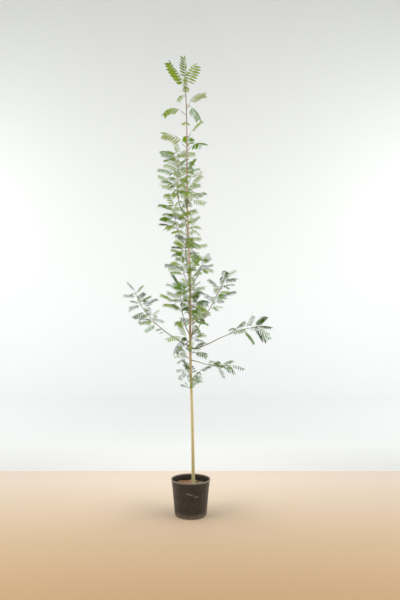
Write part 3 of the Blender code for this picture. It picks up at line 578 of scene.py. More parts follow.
SPURS = (
    spur("left_lowest", 0.905, 195, 10, 1, 0.100),
    spur("right_lowest", 0.965, -12, 38, 3, 0.145, 0.080),
    spur("left_low", 1.010, 178, 25, 3, 0.130),
    spur("left_low_upper", 1.115, 186, 20, 2, 0.125),
    spur("front_right_low", 1.150, 322, 14, 2, 0.145),
    spur("left_hand", 1.235, 188, 24, 3, 0.175, 0.060),
    spur("front_face", 1.250, 322, 26, 3, 0.130),
    spur("right_hand", 1.360, -5, 20, 3, 0.155),
    spur("right_middle", 1.480, 10, 40, 2, 0.150),
    spur("front_dark", 1.560, 305, 30, 2, 0.140),
    spur("right_face", 1.720, 300, 30, 2, 0.140),
    spur("right_inner", 1.870, 15, 45, 3, 0.150),
    spur("right_high", 2.040, 330, 20, 2, 0.135),
    spur("right_stalk", 2.235, 0, 22, 1, 0.150),
    spur("right_arch", 2.285, -8, 58, 1, 0.180),
    spur("leader_right_low", 2.370, 8, 42, 1, 0.140),
    spur("leader_front_low", 2.500, 280, 0, 1, 0.160, 0.035, 1.4),
    spur("leader_back_low", 2.430, 100, 35, 2, 0.140),
    spur("leader_pair_left", 2.620, 180, 36, 1, 0.225, 0.035, 0.80, 60),
    spur("leader_pair_right", 2.602, 0, 34, 2, 0.205, 0.035, 0.9, 60),
    spur("leader_right", 2.690, 5, 44, 1, 0.165),
    spur("leader_back", 2.760, 95, 35, 1, 0.170),
    spur("leader_left", 2.855, 180, 28, 1, 0.245, 0.035, 1.3, 40),
    spur("leader_front", 2.975, 262, 24, 3, 0.140),
    spur("leader_right_top", 2.895, 0, 54, 1, 0.235, 0.035, 1.2, 40),
    spur("leader_hanging", 2.930, 325, -40, 1, 0.200, 0.035, 0.8, 60),
)

# Leaves crowd towards the tip of the three longest boughs.
BOUGHS[0].update(crowding=0.55, lift=0.12)
BOUGHS[1].update(crowding=0.11, droop=0.55, spread=(66, 36))
BOUGHS[2].update(crowding=0.60)

# The leader: the trunk's own last shoot, which carries on from the trunk's tip.
LEADER = shoot("leader_tip", TRUNK_TOP, (180, 181), (86, 85, 84), 0.088, 0, 0.0030, 5, 0.205, 0, -5)
LEADER.update(spread=(46, -4), droop=0.12, face=50, lift=0.0)

# Outline of the inner crown from the front: its reach to either side at even heights.
CROWN_FOOT = 0.90
CROWN_HEAD = 3.00
CROWN_LEFT = (0.07, 0.11, 0.20, 0.18, 0.15, 0.17, 0.18, 0.20, 0.25, 0.25, 0.22, 0.23, 0.24, 0.23, 0.16)
CROWN_RIGHT = (0.03, 0.16, 0.14, 0.17, 0.15, 0.13, 0.11, 0.15, 0.07, 0.13, 0.11, 0.11, 0.13, 0.09, 0.13)

# Compound leaf: a bare stalk, then pairs of leaflets along an arching rib, and one at its end.
STALK_SHARE = 0.17
RIB_SHARE = 0.84
LEAFLET_SHARE = 0.29
LEAFLET_GROWTH = 0.4
LEAFLET_END = 0.84
LEAFLET_BELLY = 0.64
LEAFLET_SPLAYS = (74, 50)
LEAF_COMMON = 0.15
LEAF_DROOP = 60
LEAF_DROOP_SPREAD = 0.25
LEAF_CURL = 22
LEAF_ROLL = 30
LEAF_FOLD = 42
LEAF_FOLD_SPREAD = 14
LEAF_THICKNESS = 0.013
LEAF_TRIES = 13
LEAF_CLEARANCE = 0.0011
RIB_STEPS = 8
PAIR_LENGTHS = (0.120, 0.165)
FEWEST_PAIRS = 5
VEIL_STEPS = 3
SWING_TURN = 17
SWING_DROP = 6
SWING_DROPS = 3
LEAF_SEED = 100

# Where a shoot's leaves stand and how large they are, from its foot to its tip.
FIRST_LEAF = 0.06
TIP_SPREAD = 14
TURN_SPREAD = 14
LEAF_SIZES = (1.06, 0.84)
LEAF_SIZE_SPREAD = 0.12
TWIG_LEAF_SIZE = 0.92
TWIG_LEAF_SIZE_SPREAD = 0.10
TWIG_FORK = 1.1
TWIG_LEAF_LIFT = 0.25


def heading(compass, rise):
    """Unit vector for a compass direction and a rise above the horizon."""
    turn = math.radians(compass)
    lift = math.radians(rise)
    return Vector((math.cos(turn) * math.cos(lift), math.sin(turn) * math.cos(lift), math.sin(lift)))


def along(values, share):
    """Value at a share of the way through evenly spaced values."""
    place = share * (len(values) - 1)
    index = min(int(place), len(values) - 2)
    return values[index] + (values[index + 1] - values[index]) * (place - index)


def sweep(start, row):
    """Evenly spaced points of a shoot that turns smoothly through the row's directions."""
    points = [start]
    for step in range(SHOOT_STEPS):
        share = (step + 0.5) / SHOOT_STEPS
        direction = heading(along(row["compass"], share), along(row["rises"], share))
        points.append(points[-1] + direction * (row["length"] / SHOOT_STEPS))
    return points


def shoot_radius(row, share):
    """Radius of a shoot at a share of its length."""
    return row["foot"] + (SHOOT_TIP_RADIUS - row["foot"]) * share ** SHOOT_TAPER


def stretch(row):
    """Centres and radii of a shoot's test rings, with a second ring close to each end."""
    shares = [i / (TEST_POINTS - 1) for i in range(TEST_POINTS)]
    if row["length"] > SPUR_LONGEST:
        shares.insert(1, END_RING / row["length"])
        shares.insert(-1, 1.0 - END_RING / row["length"])
    return [along(row["points"], share) for share in shares], [shoot_radius(row, share) for share in shares]


def frame_of(direction):
    """Two unit vectors across a direction, the first one level."""
    side = Vector((-direction.y, direction.x, 0.0))
    if side.length < NEARLY_UPRIGHT:
        side = Vector((0.0, 1.0, 0.0))
    side.normalize()
    return side, direction.cross(side)


class Leaf:
    """An arching compound leaf: where it starts, how it heads off, droops, curls and rolls."""

    def __init__(self, base, out, length, row, mood, swing):
        common = length / LEAF_COMMON
        self.base = base
        self.length = length
        self.rise = math.degrees(math.asin(max(-1.0, min(1.0, out.z)))) + swing[1]
        self.compass = math.degrees(math.atan2(out.y, out.x)) + swing[0]
        self.droop = LEAF_DROOP * row["droop"] * common * (1 + LEAF_DROOP_SPREAD * mood[0])
        self.curl = LEAF_CURL * mood[1]
        self.roll = math.radians(LEAF_ROLL * mood[2] + row["face"] * math.cos(math.radians(self.compass)))
        self.fold = math.radians(LEAF_FOLD + LEAF_FOLD_SPREAD * mood[3])
        self.leaflets = LEAFLET_SHARE * common ** LEAFLET_GROWTH
        self.pairs = FEWEST_PAIRS + sum(length >= least for least in PAIR_LENGTHS)

    def rib(self, share):
        """Point, direction, side and upper normal on the rib at a share of the length."""
        point = self.base.copy()
        for i in range(RIB_STEPS):
            middle = share * (i + 0.5) / RIB_STEPS
            point += self.direction(middle) * (self.length * share / RIB_STEPS)
        direction = self.direction(share)
        turn = math.radians(self.compass + self.curl * share)
        side = crosswise(turn)
        upper = direction.cross(side)
        rolled = side * math.cos(self.roll) + upper * math.sin(self.roll)
        return point, direction, rolled, direction.cross(rolled)

    def direction(self, share):
        """Unit vector along the rib at a share of the length."""
        return heading(self.compass + self.curl * share, self.rise - self.droop * share)

    def leaflet(self, share, hand):
        """Tip of the leaflet that stands on one hand of the rib at a share of the length."""
        point, direction, side, upper = self.rib(share)
        place = (share - STALK_SHARE) / (RIB_SHARE - STALK_SHARE)
        splay = math.radians(along(LEAFLET_SPLAYS, place))
        size = self.length * self.leaflets * (LEAFLET_END + LEAFLET_BELLY * place * (1 - place))
        across = side * hand * math.cos(self.fold) - upper * math.sin(self.fold)
        return point + (direction * math.cos(splay) + across * math.sin(splay)) * size

    def veil(self, lift):
        """Thin outline of the leaf, moved along its upper normal, for testing its clearance."""
        rib = RIB_SHARE - STALK_SHARE
        shares = [STALK_SHARE + rib * i / VEIL_STEPS for i in range(VEIL_STEPS + 1)] + [1.0]
        points = []
        faces = []
        for share in shares:
            point, _, _, upper = self.rib(share)
            shift = upper * lift
            hands = [self.leaflet(min(share, RIB_SHARE), hand) for hand in (1, -1)]
            if share == 1.0:
                hands = [point, point]
            points += [point + shift, hands[0] + shift, hands[1] + shift]
        for i in range(len(shares) - 1):
            here = 3 * i
            for hand in (1, 2):
                faces.append((here, here + hand, here + 3 + hand))
                faces.append((here, here + 3 + hand, here + 3))
        return points, faces


def in_outline(leaf):
    """Whether the tip of a leaf keeps inside the inner crown's outline from the front."""
    tip = leaf.rib(1.0)[0]
    share = min(1.0, max(0.0, (tip.z - CROWN_FOOT) / (CROWN_HEAD - CROWN_FOOT)))
    return -along(CROWN_LEFT, share) < tip.x < along(CROWN_RIGHT, share)


def in_room(leaf, low, high):
    """Whether the tip of a leaf keeps between two corners."""
    tip = leaf.rib(1.0)[0]
    return all(low[axis] < tip[axis] < high[axis] for axis in range(3))


def veil_tree(leaf):
    """Search tree of a leaf's two veils, which lie just above and just below its blade."""
    lift = leaf.length * LEAF_THICKNESS / 2 + LEAF_CLEARANCE
    veils = ([], [], [])
    gather(veils, *leaf.veil(lift))
    gather(veils, *leaf.veil(-lift))
    return BVHTree.FromPolygons(*veils[:2])


def tube_faces(rings, sides):
    """Faces of a tube of rings, closed at both ends."""
    faces = []
    for i in range(rings - 1):
        for k in range(sides):
            a = i * sides + k
            b = i * sides + (k + 1) % sides
            faces.append((a, b, b + sides, a + sides))
    faces.append(tuple(reversed(range(sides))))
    faces.append(tuple(range((rings - 1) * sides, rings * sides)))
    return faces


def tube(centres, radii, sides):
    """Closed tube of flat-sided rings along its centres."""
    points = []
    last = len(centres) - 1
    for i, (centre, radius) in enumerate(zip(centres, radii)):
        direction = (centres[min(i + 1, last)] - centres[max(i - 1, 0)]).normalized()
        side, upper = frame_of(direction)
        for turn in turns(sides):
            points.append(centre + (side * math.cos(turn) + upper * math.sin(turn)) * radius)
    return points, tube_faces(len(centres), sides)


def tube_tree(centres, radii):
    """Search tree of a limb, a little thicker than the limb itself."""
    return BVHTree.FromPolygons(*tube(centres, [radius + LEAF_CLEARANCE for radius in radii], TEST_SIDES))


def launch(row, share, spread, turn):
    """Direction that leaves a shoot at an angle from it and a turn about it."""
    ahead = along(row["points"], min(1.0, share + LOOK_AHEAD))
    behind = along(row["points"], max(0.0, share - LOOK_AHEAD))
    direction = (ahead - behind).normalized()
    side, upper = frame_of(direction)
    turn, spread = math.radians(turn), math.radians(spread)
    across = side * math.cos(turn) + upper * math.sin(turn)
    return direction * math.cos(spread) + across * math.sin(spread)


def way_out(row):
    """Length of a shoot that lies inside the trunk."""
    if row["height"] >= TRUNK_TOP:
        return 0.0
    return trunk_radius(row["height"]) / math.cos(math.radians(row["rises"][0]))


def grow_limbs(row):
    """Run a shoot's line and give it its side twigs."""
    row["points"] = sweep(trunk_centre(row["height"]), row)
    row["twig_runs"] = []
    inner = max(row["bare"], min(SHOOT_MOST_HIDDEN, way_out(row) / row["length"]))
    row["first"] = inner
    for i in range(row["twigs"]):
        share = inner + (1 - inner) * (TWIG_PLACES[0] + TWIG_PLACES[1] * i / row["twigs"])
        out = launch(row, share, TWIG_SPREAD, row["turn"] + TWIG_TURN + SPIRAL_TURN * (i + 1))
        out = (out + up(TWIG_LIFT)).normalized()
        root = along(row["points"], share)
        steps = [k / (TWIG_POINTS - 1) for k in range(TWIG_POINTS)]
        run = [root + out * (TWIG_LENGTH * step) + up(TWIG_RISE) * step ** 2 for step in steps]
        row["twig_runs"].append(run)


def leaf_sites(row, rng):
    """Place, outward direction and length of each leaf of a shoot, from its foot to its tip."""
    sites = []
    for i in range(row["leaves"]):
        share = (i + 1) / row["leaves"]
        place = FIRST_LEAF + (1 - FIRST_LEAF) * share ** row["crowding"]
        place = row["first"] + (1 - row["first"]) * place
        spread = TIP_SPREAD if share == 1.0 else along(row["spread"], share)
        size = row["leaf"] * (along(LEAF_SIZES, share) + LEAF_SIZE_SPREAD * rng.uniform(-1, 1))
        out = launch(row, place, spread, row["turn"] + SPIRAL_TURN * i + TURN_SPREAD * rng.uniform(-1, 1))
        out = (out + up(row["lift"])).normalized()
        sites.append((along(row["points"], place), out, size))
    for centres in row["twig_runs"]:
        direction = (centres[-1] - centres[0]).normalized()
        side = frame_of(direction)[0]
        for seat, hand in zip(TWIG_SEATS, (1, -1, 0)):
            out = (direction + side * hand * TWIG_FORK + up(TWIG_LEAF_LIFT)).normalized()
            size = row["leaf"] * (TWIG_LEAF_SIZE + TWIG_LEAF_SIZE_SPREAD * rng.uniform(-1, 1))
            sites.append((centres[seat], out, size))
    return sites


def grow_leaves(row, sites, rng, taken, limbs):
    """Give a shoot its leaves, leaving out each one that would touch a leaf or a limb."""
    for base, out, size in sites:
        mood = [rng.uniform(-1, 1) for _ in range(4)]
        for attempt in range(LEAF_TRIES):
            turn = (attempt + 1) // 2 * SWING_TURN * (-1) ** attempt
            leaf = Leaf(base, out, size, row, mood, (turn, -SWING_DROP * (attempt % SWING_DROPS)))
            if not row["free"] and not in_outline(leaf):
                continue
            if row["room"] and not in_room(leaf, *row["room"]):
                continue
            tree = veil_tree(leaf)
            if any(tree.overlap(other) for other in taken + limbs):
                continue
            taken.append(tree)
            row["grown"].append(leaf)
            break


def limb_trees(rows):
    """Search trees of the trunk, of every shoot and of every twig."""
    steps = TRUNK_TEST_POINTS - 1
    heights = [TRUNK_FOOT + (TRUNK_TOP - TRUNK_FOOT) * i / steps for i in range(TRUNK_TEST_POINTS)]
    trees = [tube_tree([trunk_centre(h) for h in heights], [trunk_radius(h) for h in heights])]
    for row in rows:
        trees.append(tube_tree(*stretch(row)))
        trees += [tube_tree(run, [TWIG_RADIUS] * TWIG_POINTS) for run in row["twig_runs"]]
    return trees


rows = [dict(row, grown=[], room=None) for row in BOUGHS + SPURS + (LEADER,)]
for row in rows:
    grow_limbs(row)
limbs = limb_trees(rows)
taken = []
for number, row in enumerate(rows):
    rng = random.Random(LEAF_SEED + number)
    grow_leaves(row, leaf_sites(row, rng), rng, taken, limbs)

# Smaller leaves between the first ones, each within the reach of its own shoot's.
FILL_ROUNDS = ((0.8, 0.92), (0.9, 0.78))
FILL_SIZES = (0.85, 1.1)
FILL_SPREAD = (40, 74)
FILL_TOP = 2.5
FILL_TIP_ONLY = 0.2
FILL_SEED = 1000
FILL_SLACK = 0.012
FILL_SPUR_SLACK = 0.050


def room_of(row):
    """Lowest and highest corner that a shoot's leaves reach, with a little slack."""
    points = row["points"] + [leaf.rib(share)[0] for leaf in row["grown"] for share in (0.5, 1.0)]
    slack = FILL_SLACK if row["free"] else FILL_SPUR_SLACK
    low = [min(point[axis] for point in points) - slack for axis in range(3)]
    high = [max(point[axis] for point in points) + slack for axis in range(3)]
    return low, high


for row in rows:
    row["room"] = room_of(row)
for count, size in FILL_ROUNDS:
    for number, row in enumerate(rows[:-1]):
        crowded = row["crowding"] < FILL_TIP_ONLY and size < FILL_ROUNDS[0][1]
        if crowded or row["height"] > FILL_TOP:
            continue
        rng = random.Random(int(FILL_SEED * size) + number)
        sites = []
        for _ in range(max(1, round(row["leaves"] * count))):
            share = row["first"] + (1 - row["first"]) * rng.random() ** row["crowding"]
            out = launch(row, share, rng.uniform(*FILL_SPREAD), rng.uniform(0, 360))
            out = (out + up(row["lift"])).normalized()
            sites.append((along(row["points"], share), out, row["leaf"] * size * rng.uniform(*FILL_SIZES)))
        grow_leaves(row, sites, rng, taken, limbs)


# Trunk. One living stem, grown upright in the nursery: thin smooth bark over green cambium,
# with corky breathing pores across it, a swelling under each shoot, healed scars low down
# and a flared foot where it meets the compost.
TRUNK_RING = 0.0025
TRUNK_SIDES = 32
RIDGE_RELIEF = 0.00035
RIDGE_PITCH = 0.050
GRAIN_RELIEF = 0.00012
GRAIN_PITCH = 0.009
BUTTRESS_RELIEF = 0.0022
COLLAR_SPAN = 0.012
COLLAR_REACH = 2.5
COLLAR_RELIEF = 0.55
PORE_COUNT = 520
PORE_LIFT = 0.00030
PORE_SIDES = 8
PORE_WIDTHS = (0.0012, 0.0030)
PORE_HEIGHTS = (0.0005, 0.0010)
PORE_ENDS = (0.01, 0.02)
PORE_SEED = 23
SCAR_COUNT = 9
SCAR_LIFT = 2.2
SCAR_WIDTHS = (0.30, 0.42)
SCAR_HEIGHTS = (0.35, 0.6)
SCAR_FOOT = 0.12
SCAR_TOP = 1.0

# Rowan bark, living and smooth: olive tan below, darker among the lower boughs, which is painted
# shade of the crown, paler above them and pinkish brown towards the leader, under a faint
# upright grain.
stem_bark, tree, shader = new_material("rowan_bark_smooth", 0.62)
place = add_node(tree, "TexCoord").outputs["Object"]
height = add_node(tree, "SeparateXYZ", {"Vector": place}).outputs["Z"]
climb = add_node(tree, "MapRange", {"Value": height, "From Min": TRUNK_FOOT, "From Max": TRUNK_TOP})
patches = add_node(tree, "TexNoise", {"Vector": place, "Scale": scale_of(60), "Detail": 3.0})
wander = add_node(tree, "Math", {0: patches, 1: 0.10, 2: -0.05}, operation="MULTIPLY_ADD")
wandering = add_node(tree, "Math", {0: climb, 1: wander}, operation="ADD")
# Tones by height; the dark stop at 0.39, among the lower boughs, is painted shade.
bark_tones_and_shade = add_node(
    tree, "ValToRGB", {"Fac": wandering},
    (
        (0.0, "#c4ba86"), (1.0, "#a58a70"), (0.20, "#dccf9d"), (0.33, "#d2c393"), (0.39, "#a89467"),
        (0.50, "#bea880"), (0.60, "#d2bd98"), (0.75, "#c7aa92"),
    ),
)
upright = add_node(tree, "Mapping", {"Vector": place, "Scale": (1.0, 1.0, 0.12)})
streaks = add_node(tree, "TexNoise", {"Vector": upright, "Scale": scale_of(2.5), "Detail": 4.0})
shade = add_node(
    tree, "MapRange", {"Value": streaks, "From Min": 0.3, "From Max": 0.7, "To Min": 0.72, "To Max": 1.14}
)
streaked = add_node(tree, "VectorMath", {0: bark_tones_and_shade, "Scale": shade}, operation="SCALE")
bump = add_node(tree, "Bump", {"Height": streaks, "Strength": 0.5, "Distance": 0.0006})
feed(shader, {"Base Color": streaked, "Normal": bump})

# Cork, grown through the bark: matt and rough, in blotches of dark and pale grey brown.
pore_cork = mottled_material("bark_cork_raised", 0.9, 2, 4.0, ((0.35, "#4a3a28"), (0.68, "#8e7a5a")))

collars = []
for row in rows[:-1]:
    collars.append((row["height"] + way_out(row) * 0.6, math.radians(row["compass"][0]), row["foot"]))


def trunk_skin(height, turn):
    """Radius of the trunk's surface, with ridges, grain and the collars of its shoots."""
    radius = trunk_radius(height)
    slim = radius / TRUNK_FOOT_RADIUS
    ridges = noise.noise(outward(turn) * 2.6 + up(height / RIDGE_PITCH))
    grain = noise.noise(outward(turn) * 8.0 + Vector((7.0, 0, height / GRAIN_PITCH)))
    radius += slim * (RIDGE_RELIEF * ridges + GRAIN_RELIEF * grain)
    buttress = math.exp(-(height - TRUNK_FOOT) / (TRUNK_FLARE_HEIGHT * 1.2))
    radius += BUTTRESS_RELIEF * buttress * math.cos(3 * turn + 0.7)
    for place, compass, foot in collars:
        lift = (height - place) / COLLAR_SPAN
        if abs(lift) < COLLAR_REACH:
            swing = (turn - compass + math.pi) % (2 * math.pi) - math.pi
            near = math.exp(-lift * lift - (swing * radius / (foot * 2.0)) ** 2)
            radius += foot * COLLAR_RELIEF * near
    return radius


def lens(centre, out, wide, tall, lift):
    """Low lens that sits half sunk in a surface, wider than tall."""
    across = Vector((-out.y, out.x, 0.0)).normalized()
    above = out.cross(across)
    points = [centre + out * lift, centre - out * lift * 2]
    for turn in turns(PORE_SIDES):
        edge = centre + across * (wide * math.cos(turn))
        points.append(edge + above * (tall * math.sin(turn)) - out * lift * 0.4)
    faces = []
    for k in range(PORE_SIDES):
        here, beside = 2 + k, 2 + (k + 1) % PORE_SIDES
        faces += [(0, here, beside), (1, beside, here)]
    return points, faces


bark_points = []
ring_count = int((TRUNK_TOP - TRUNK_FOOT) / TRUNK_RING)
for i in range(ring_count + 1):
    height = TRUNK_FOOT + (TRUNK_TOP - TRUNK_FOOT) * i / ring_count
    centre = trunk_centre(height)
    bark_points += [centre + outward(turn) * trunk_skin(height, turn) for turn in turns(TRUNK_SIDES)]
stem = ([], [], [])
gather(stem, bark_points, tube_faces(ring_count + 1, TRUNK_SIDES))

rng = random.Random(PORE_SEED)
for i in range(PORE_COUNT + SCAR_COUNT):
    scar = i >= PORE_COUNT
    if scar:
        height = rng.uniform(TRUNK_FOOT + SCAR_FOOT, SCAR_TOP)
    else:
        height = TRUNK_FOOT + PORE_ENDS[0] + (TRUNK_TOP - TRUNK_FOOT - sum(PORE_ENDS)) * rng.random() ** 1.3
    turn = rng.uniform(0, 2 * math.pi)
    out = outward(turn)
    radius = trunk_skin(height, turn)
    wide = min(radius * 0.45, rng.uniform(*PORE_WIDTHS))
    tall = rng.uniform(*PORE_HEIGHTS)
    if scar:
        wide = radius * rng.uniform(*SCAR_WIDTHS)
        tall = radius * rng.uniform(*SCAR_HEIGHTS)
    seat = trunk_centre(height) + out * radius
    gather(stem, *lens(seat, out, wide, tall, PORE_LIFT * (SCAR_LIFT if scar else 1.0)), 1)
trunk = add_piece("trunk_stem", stem, [stem_bark, pore_cork])
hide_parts("trunk")


# Boughs and shoots. Young side limbs of this year and last, each one tapering stem that
# leaves the trunk through a swollen collar, thickens a little under every leaf, carries a
# pointed bud there and ends in one.
SHOOT_RING = 0.004
SHOOT_SIDES = 12
SHOOT_COLLAR = 0.5
SHOOT_COLLAR_SPAN = 0.007
SHOOT_HIDDEN = 0.6
TWIG_SIDES = 8
TWIG_NODES = (0.33, 0.66)
TWIG_THINS = 0.4
NODE_SWELL = 0.0005
NODE_SPAN = 0.0028
BUD_SIDES = 7
BUD_SHARES = (0.0, 0.12, 0.35, 0.62, 0.85, 1.0)
BUD_OUTLINE = (0.55, 0.9, 1.0, 0.72, 0.34, 0.05)
BUD_SIZE = (0.0055, 0.0013)
BUD_SEAT = 0.0015
TIP_BUD_SIZE = (0.010, 0.0019)
TWIG_BUD_SIZE = (0.008, 0.0016)
TIP_BUD_SUNK = 0.001

# Rowan shoot bark, one and two years old: satin, clouded from olive brown to dull green, with
# a fine grain.
shoot_bark = mottled_material("rowan_bark_young", 0.50, 18, 5.0, ((0.32, "#6f5f42"), (0.68, "#9c9063")))
tree = shoot_bark.node_tree
place = add_node(tree, "TexCoord").outputs["Object"]
fleck = add_node(tree, "TexNoise", {"Vector": place, "Scale": scale_of(1.5), "Detail": 3.0})
bump = add_node(tree, "Bump", {"Height": fleck, "Strength": 0.4, "Distance": 0.0004})
feed(tree.nodes["Principled BSDF"], {"Normal": bump})

# Bud scales, overlapping: satin, mottled from dark to middling brown.
bud_scale = mottled_material("rowan_bud_scales", 0.45, 1.5, 2.0, ((0.35, "#4b3328"), (0.68, "#7a5a45")))


def bud(seat, direction, length, width):
    """Pointed bud."""
    centres = [seat + direction * length * share for share in BUD_SHARES]
    return tube(centres, [width * share for share in BUD_OUTLINE], BUD_SIDES)


def bough_radius(row, share):
    """Radius of a shoot, with the collar where it leaves the trunk."""
    inside = way_out(row) / row["length"]
    beyond = max(0.0, share - inside) * row["length"]
    collar = SHOOT_COLLAR * math.exp(-beyond / SHOOT_COLLAR_SPAN) * (inside > 0)
    return shoot_radius(row, share) * (1 + collar)


def add_limb(shape, points, first, radius_at, length, nodes, sides, bud_size):
    """Add a limb of fine rings, swollen a little at its nodes, and the bud that it ends in."""
    count = max(4, int(length * (1.0 - first) / SHOOT_RING))
    centres = []
    radii = []
    for i in range(count + 1):
        share = first + (1.0 - first) * i / count
        swell = sum(math.exp(-((share - node) * length / NODE_SPAN) ** 2) for node in nodes)
        centres.append(along(points, share))
        radii.append(radius_at(share) + NODE_SWELL * min(1.0, swell))
    gather(shape, *tube(centres, radii, sides))
    ahead = (centres[-1] - centres[-2]).normalized()
    gather(shape, *bud(centres[-1] - ahead * TIP_BUD_SUNK, ahead, *bud_size), 1)


limbs_shape = ([], [], [])
for row in rows:
    nodes = []
    for leaf in row["grown"]:
        gaps = [(point - leaf.base).length for point in row["points"]]
        if min(gaps) < row["length"] / SHOOT_STEPS:
            nodes.append(gaps.index(min(gaps)) / SHOOT_STEPS)
    first = min(0.5, way_out(row) / row["length"] * SHOOT_HIDDEN)
    add_limb(
        limbs_shape, row["points"], first, lambda share: bough_radius(row, share), row["length"],
        nodes, SHOOT_SIDES, TIP_BUD_SIZE,
    )
    for run in row["twig_runs"]:
        add_limb(
            limbs_shape, run, 0.0, lambda share: TWIG_RADIUS * (1 - TWIG_THINS * share), TWIG_LENGTH,
            TWIG_NODES, TWIG_SIDES, TWIG_BUD_SIZE,
        )
    for leaf in row["grown"]:
        out = leaf.direction(0.0)
        gather(limbs_shape, *bud(leaf.base + out * BUD_SEAT, (out + up(1.2)).normalized(), *BUD_SIZE), 1)
boughs = add_piece("boughs_and_shoots", limbs_shape, [shoot_bark, bud_scale])
mass_nodes = [row["name"] + "_leaves" for row in rows]
bough_nodes = [row["name"] + "_bough" for row in rows if row["bare"]]
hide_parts(*bough_nodes, *mass_nodes)


# Leaves. Each is a compound leaf on a slim stalk, with five to seven pairs of toothed leaflets
# that hang from its arching rib and one more at its end: thin satin blades, duller beneath.
# Their tones are partly random and partly painted light and shade: dark low in the crown and
# towards its outside, yellower high up, where they are young and painted lighter for the light
# that falls there, and paler near the trunk, painted light shining through them.
STALK_STEPS = 14
STALK_SIDES = 6
STALK_RADII = (0.00085, 0.00035)
STALK_FOOT = 1.7
STALK_COMMON = 0.12
LEAFLET_WIDTH = 0.127
LEAFLET_STATIONS = 11
LEAFLET_TOOTH = 0.13
LEAFLET_TOOTH_LEAN = 0.012
LEAFLET_ARCH = 0.05
LEAFLET_ARCHES = (0.4, 1.6)
LEAFLET_CUP = 0.22
LEAFLET_TWIST = 26
LEAFLET_LENGTHS = (0.92, 1.06)
LEAFLET_SEED = 31
END_LEAFLET_REACH = 0.02
BLADE_THICKNESS = 0.00022
PAIRS_PAST_RIB = 0.04
LIGHT_SPREAD = 0.62
LIGHT_BY_HEIGHT = 0.44
LIGHT_BY_REACH = 0.20
CROWN_REACH = 0.40

# Leaf stalk, smooth: satin yellow green.
stalk_skin = new_material("leaf_stalk_smooth", 0.45, base="#8d9a58")[0]

# Leaf blade, waxy above and downy beneath: satin greens from dark to the yellow green of young
# ones, each with a duller underside; the darker and paler tones stand partly for painted shade
# and painted light. The number is the painted light that ends a tone.
BLADES = {
    "dark": (0.30, "#395f02", "#5a810c"),
    "middle": (0.56, "#629604", "#7ea414"),
    "light": (0.82, "#92b634", "#9ab846"),
    "young": (math.inf, "#a6be5c", "#aec272"),
}
blade_looks = {}
for tone, (_, upper_hex, under_hex) in BLADES.items():
    blade_looks[tone] = []
    for side, roughness, level, code in (
        ("waxy", 0.50, 0.03, upper_hex), ("downy", 0.80, 0.0, under_hex),
    ):
        look, tree, shader = new_material("leaf_blade_" + side + "_" + tone, roughness, base=code)
        feed(shader, {"Specular IOR Level": level})
        blade_looks[tone].append(look)


def blade(root, tip, rib_way, twist, arch):
    """Points, upper faces and under faces of one toothed leaflet between its root and its tip."""
    way = tip - root
    length = way.length
    way.normalize()
    across = (rib_way - way * rib_way.dot(way)).normalized()
    normal = way.cross(across)
    if normal.z < 0:
        normal.negate()
    cosine, sine = math.cos(twist), math.sin(twist)
    across, normal = across * cosine + normal * sine, normal * cosine - across * sine
    points = []
    last = LEAFLET_STATIONS - 1
    for i in range(LEAFLET_STATIONS):
        share = i / last
        middle = root + way * (length * share) + normal * (length * arch * 4 * share * (1 - share))
        points += [middle, middle - normal * BLADE_THICKNESS]
        if 0 < i < last:
            swell = math.sin(math.pi * share ** 0.82) ** 0.62
            half = length * LEAFLET_WIDTH * swell * (1 - LEAFLET_TOOTH * (i % 2) * (i > 2))
            drop = normal * (half * LEAFLET_CUP)
            forward = way * (length * LEAFLET_TOOTH_LEAN * (i % 2 == 0))
            points += [middle + across * half - drop + forward, middle - across * half - drop + forward]

    def corner(i, which):
        """Index of a station's midrib, under midrib, right edge or left edge."""
        return max(0, 4 * i - 2) + which

    faces = ([], [])
    for i in range(last):
        for edge in (2, 3):
            for middle in (0, 1):
                ring = [corner(i, middle), corner(i, edge), corner(i + 1, edge), corner(i + 1, middle)]
                if i == 0:
                    ring.pop(1)
                if i == last - 1:
                    ring.pop(2)
                if (edge == 2) == (middle == 1):
                    ring.reverse()
                faces[middle].append(tuple(ring))
    return points, *faces


def dress(leaf, blades, stalks, rng):
    """Add one leaf: its stalk and rib to the stalks, its leaflets to a tone's blades."""
    shares = [i / STALK_STEPS for i in range(STALK_STEPS)]
    radii = [along(STALK_RADII, share) for share in shares]
    radii[0] *= STALK_FOOT
    stout = 0.7 + 0.3 * (leaf.length / STALK_COMMON)
    centres = [leaf.rib(share)[0] for share in shares]
    gather(stalks, *tube(centres, [radius * stout for radius in radii], STALK_SIDES))
    step = (RIB_SHARE + PAIRS_PAST_RIB - STALK_SHARE) / leaf.pairs
    runs = []
    for i in range(leaf.pairs):
        share = STALK_SHARE + step * (i + 0.5)
        point, direction = leaf.rib(share)[:2]
        for hand in (1, -1):
            runs.append((point, leaf.leaflet(min(share, RIB_SHARE), hand), direction))
    point, direction, side = leaf.rib(RIB_SHARE + END_LEAFLET_REACH)[:3]
    runs.append((point, leaf.rib(1.0)[0] + direction * leaf.length * END_LEAFLET_REACH, side))
    for root, tip, rib_way in runs:
        tip = root + (tip - root) * rng.uniform(*LEAFLET_LENGTHS)
        twist = math.radians(rng.uniform(-LEAFLET_TWIST, LEAFLET_TWIST))
        arch = LEAFLET_ARCH * rng.uniform(*LEAFLET_ARCHES)
        points, upper_faces, under_faces = blade(root, tip, rib_way, twist, arch)
        gather(blades, points, upper_faces + under_faces)
        blades[2][-len(under_faces):] = [1] * len(under_faces)


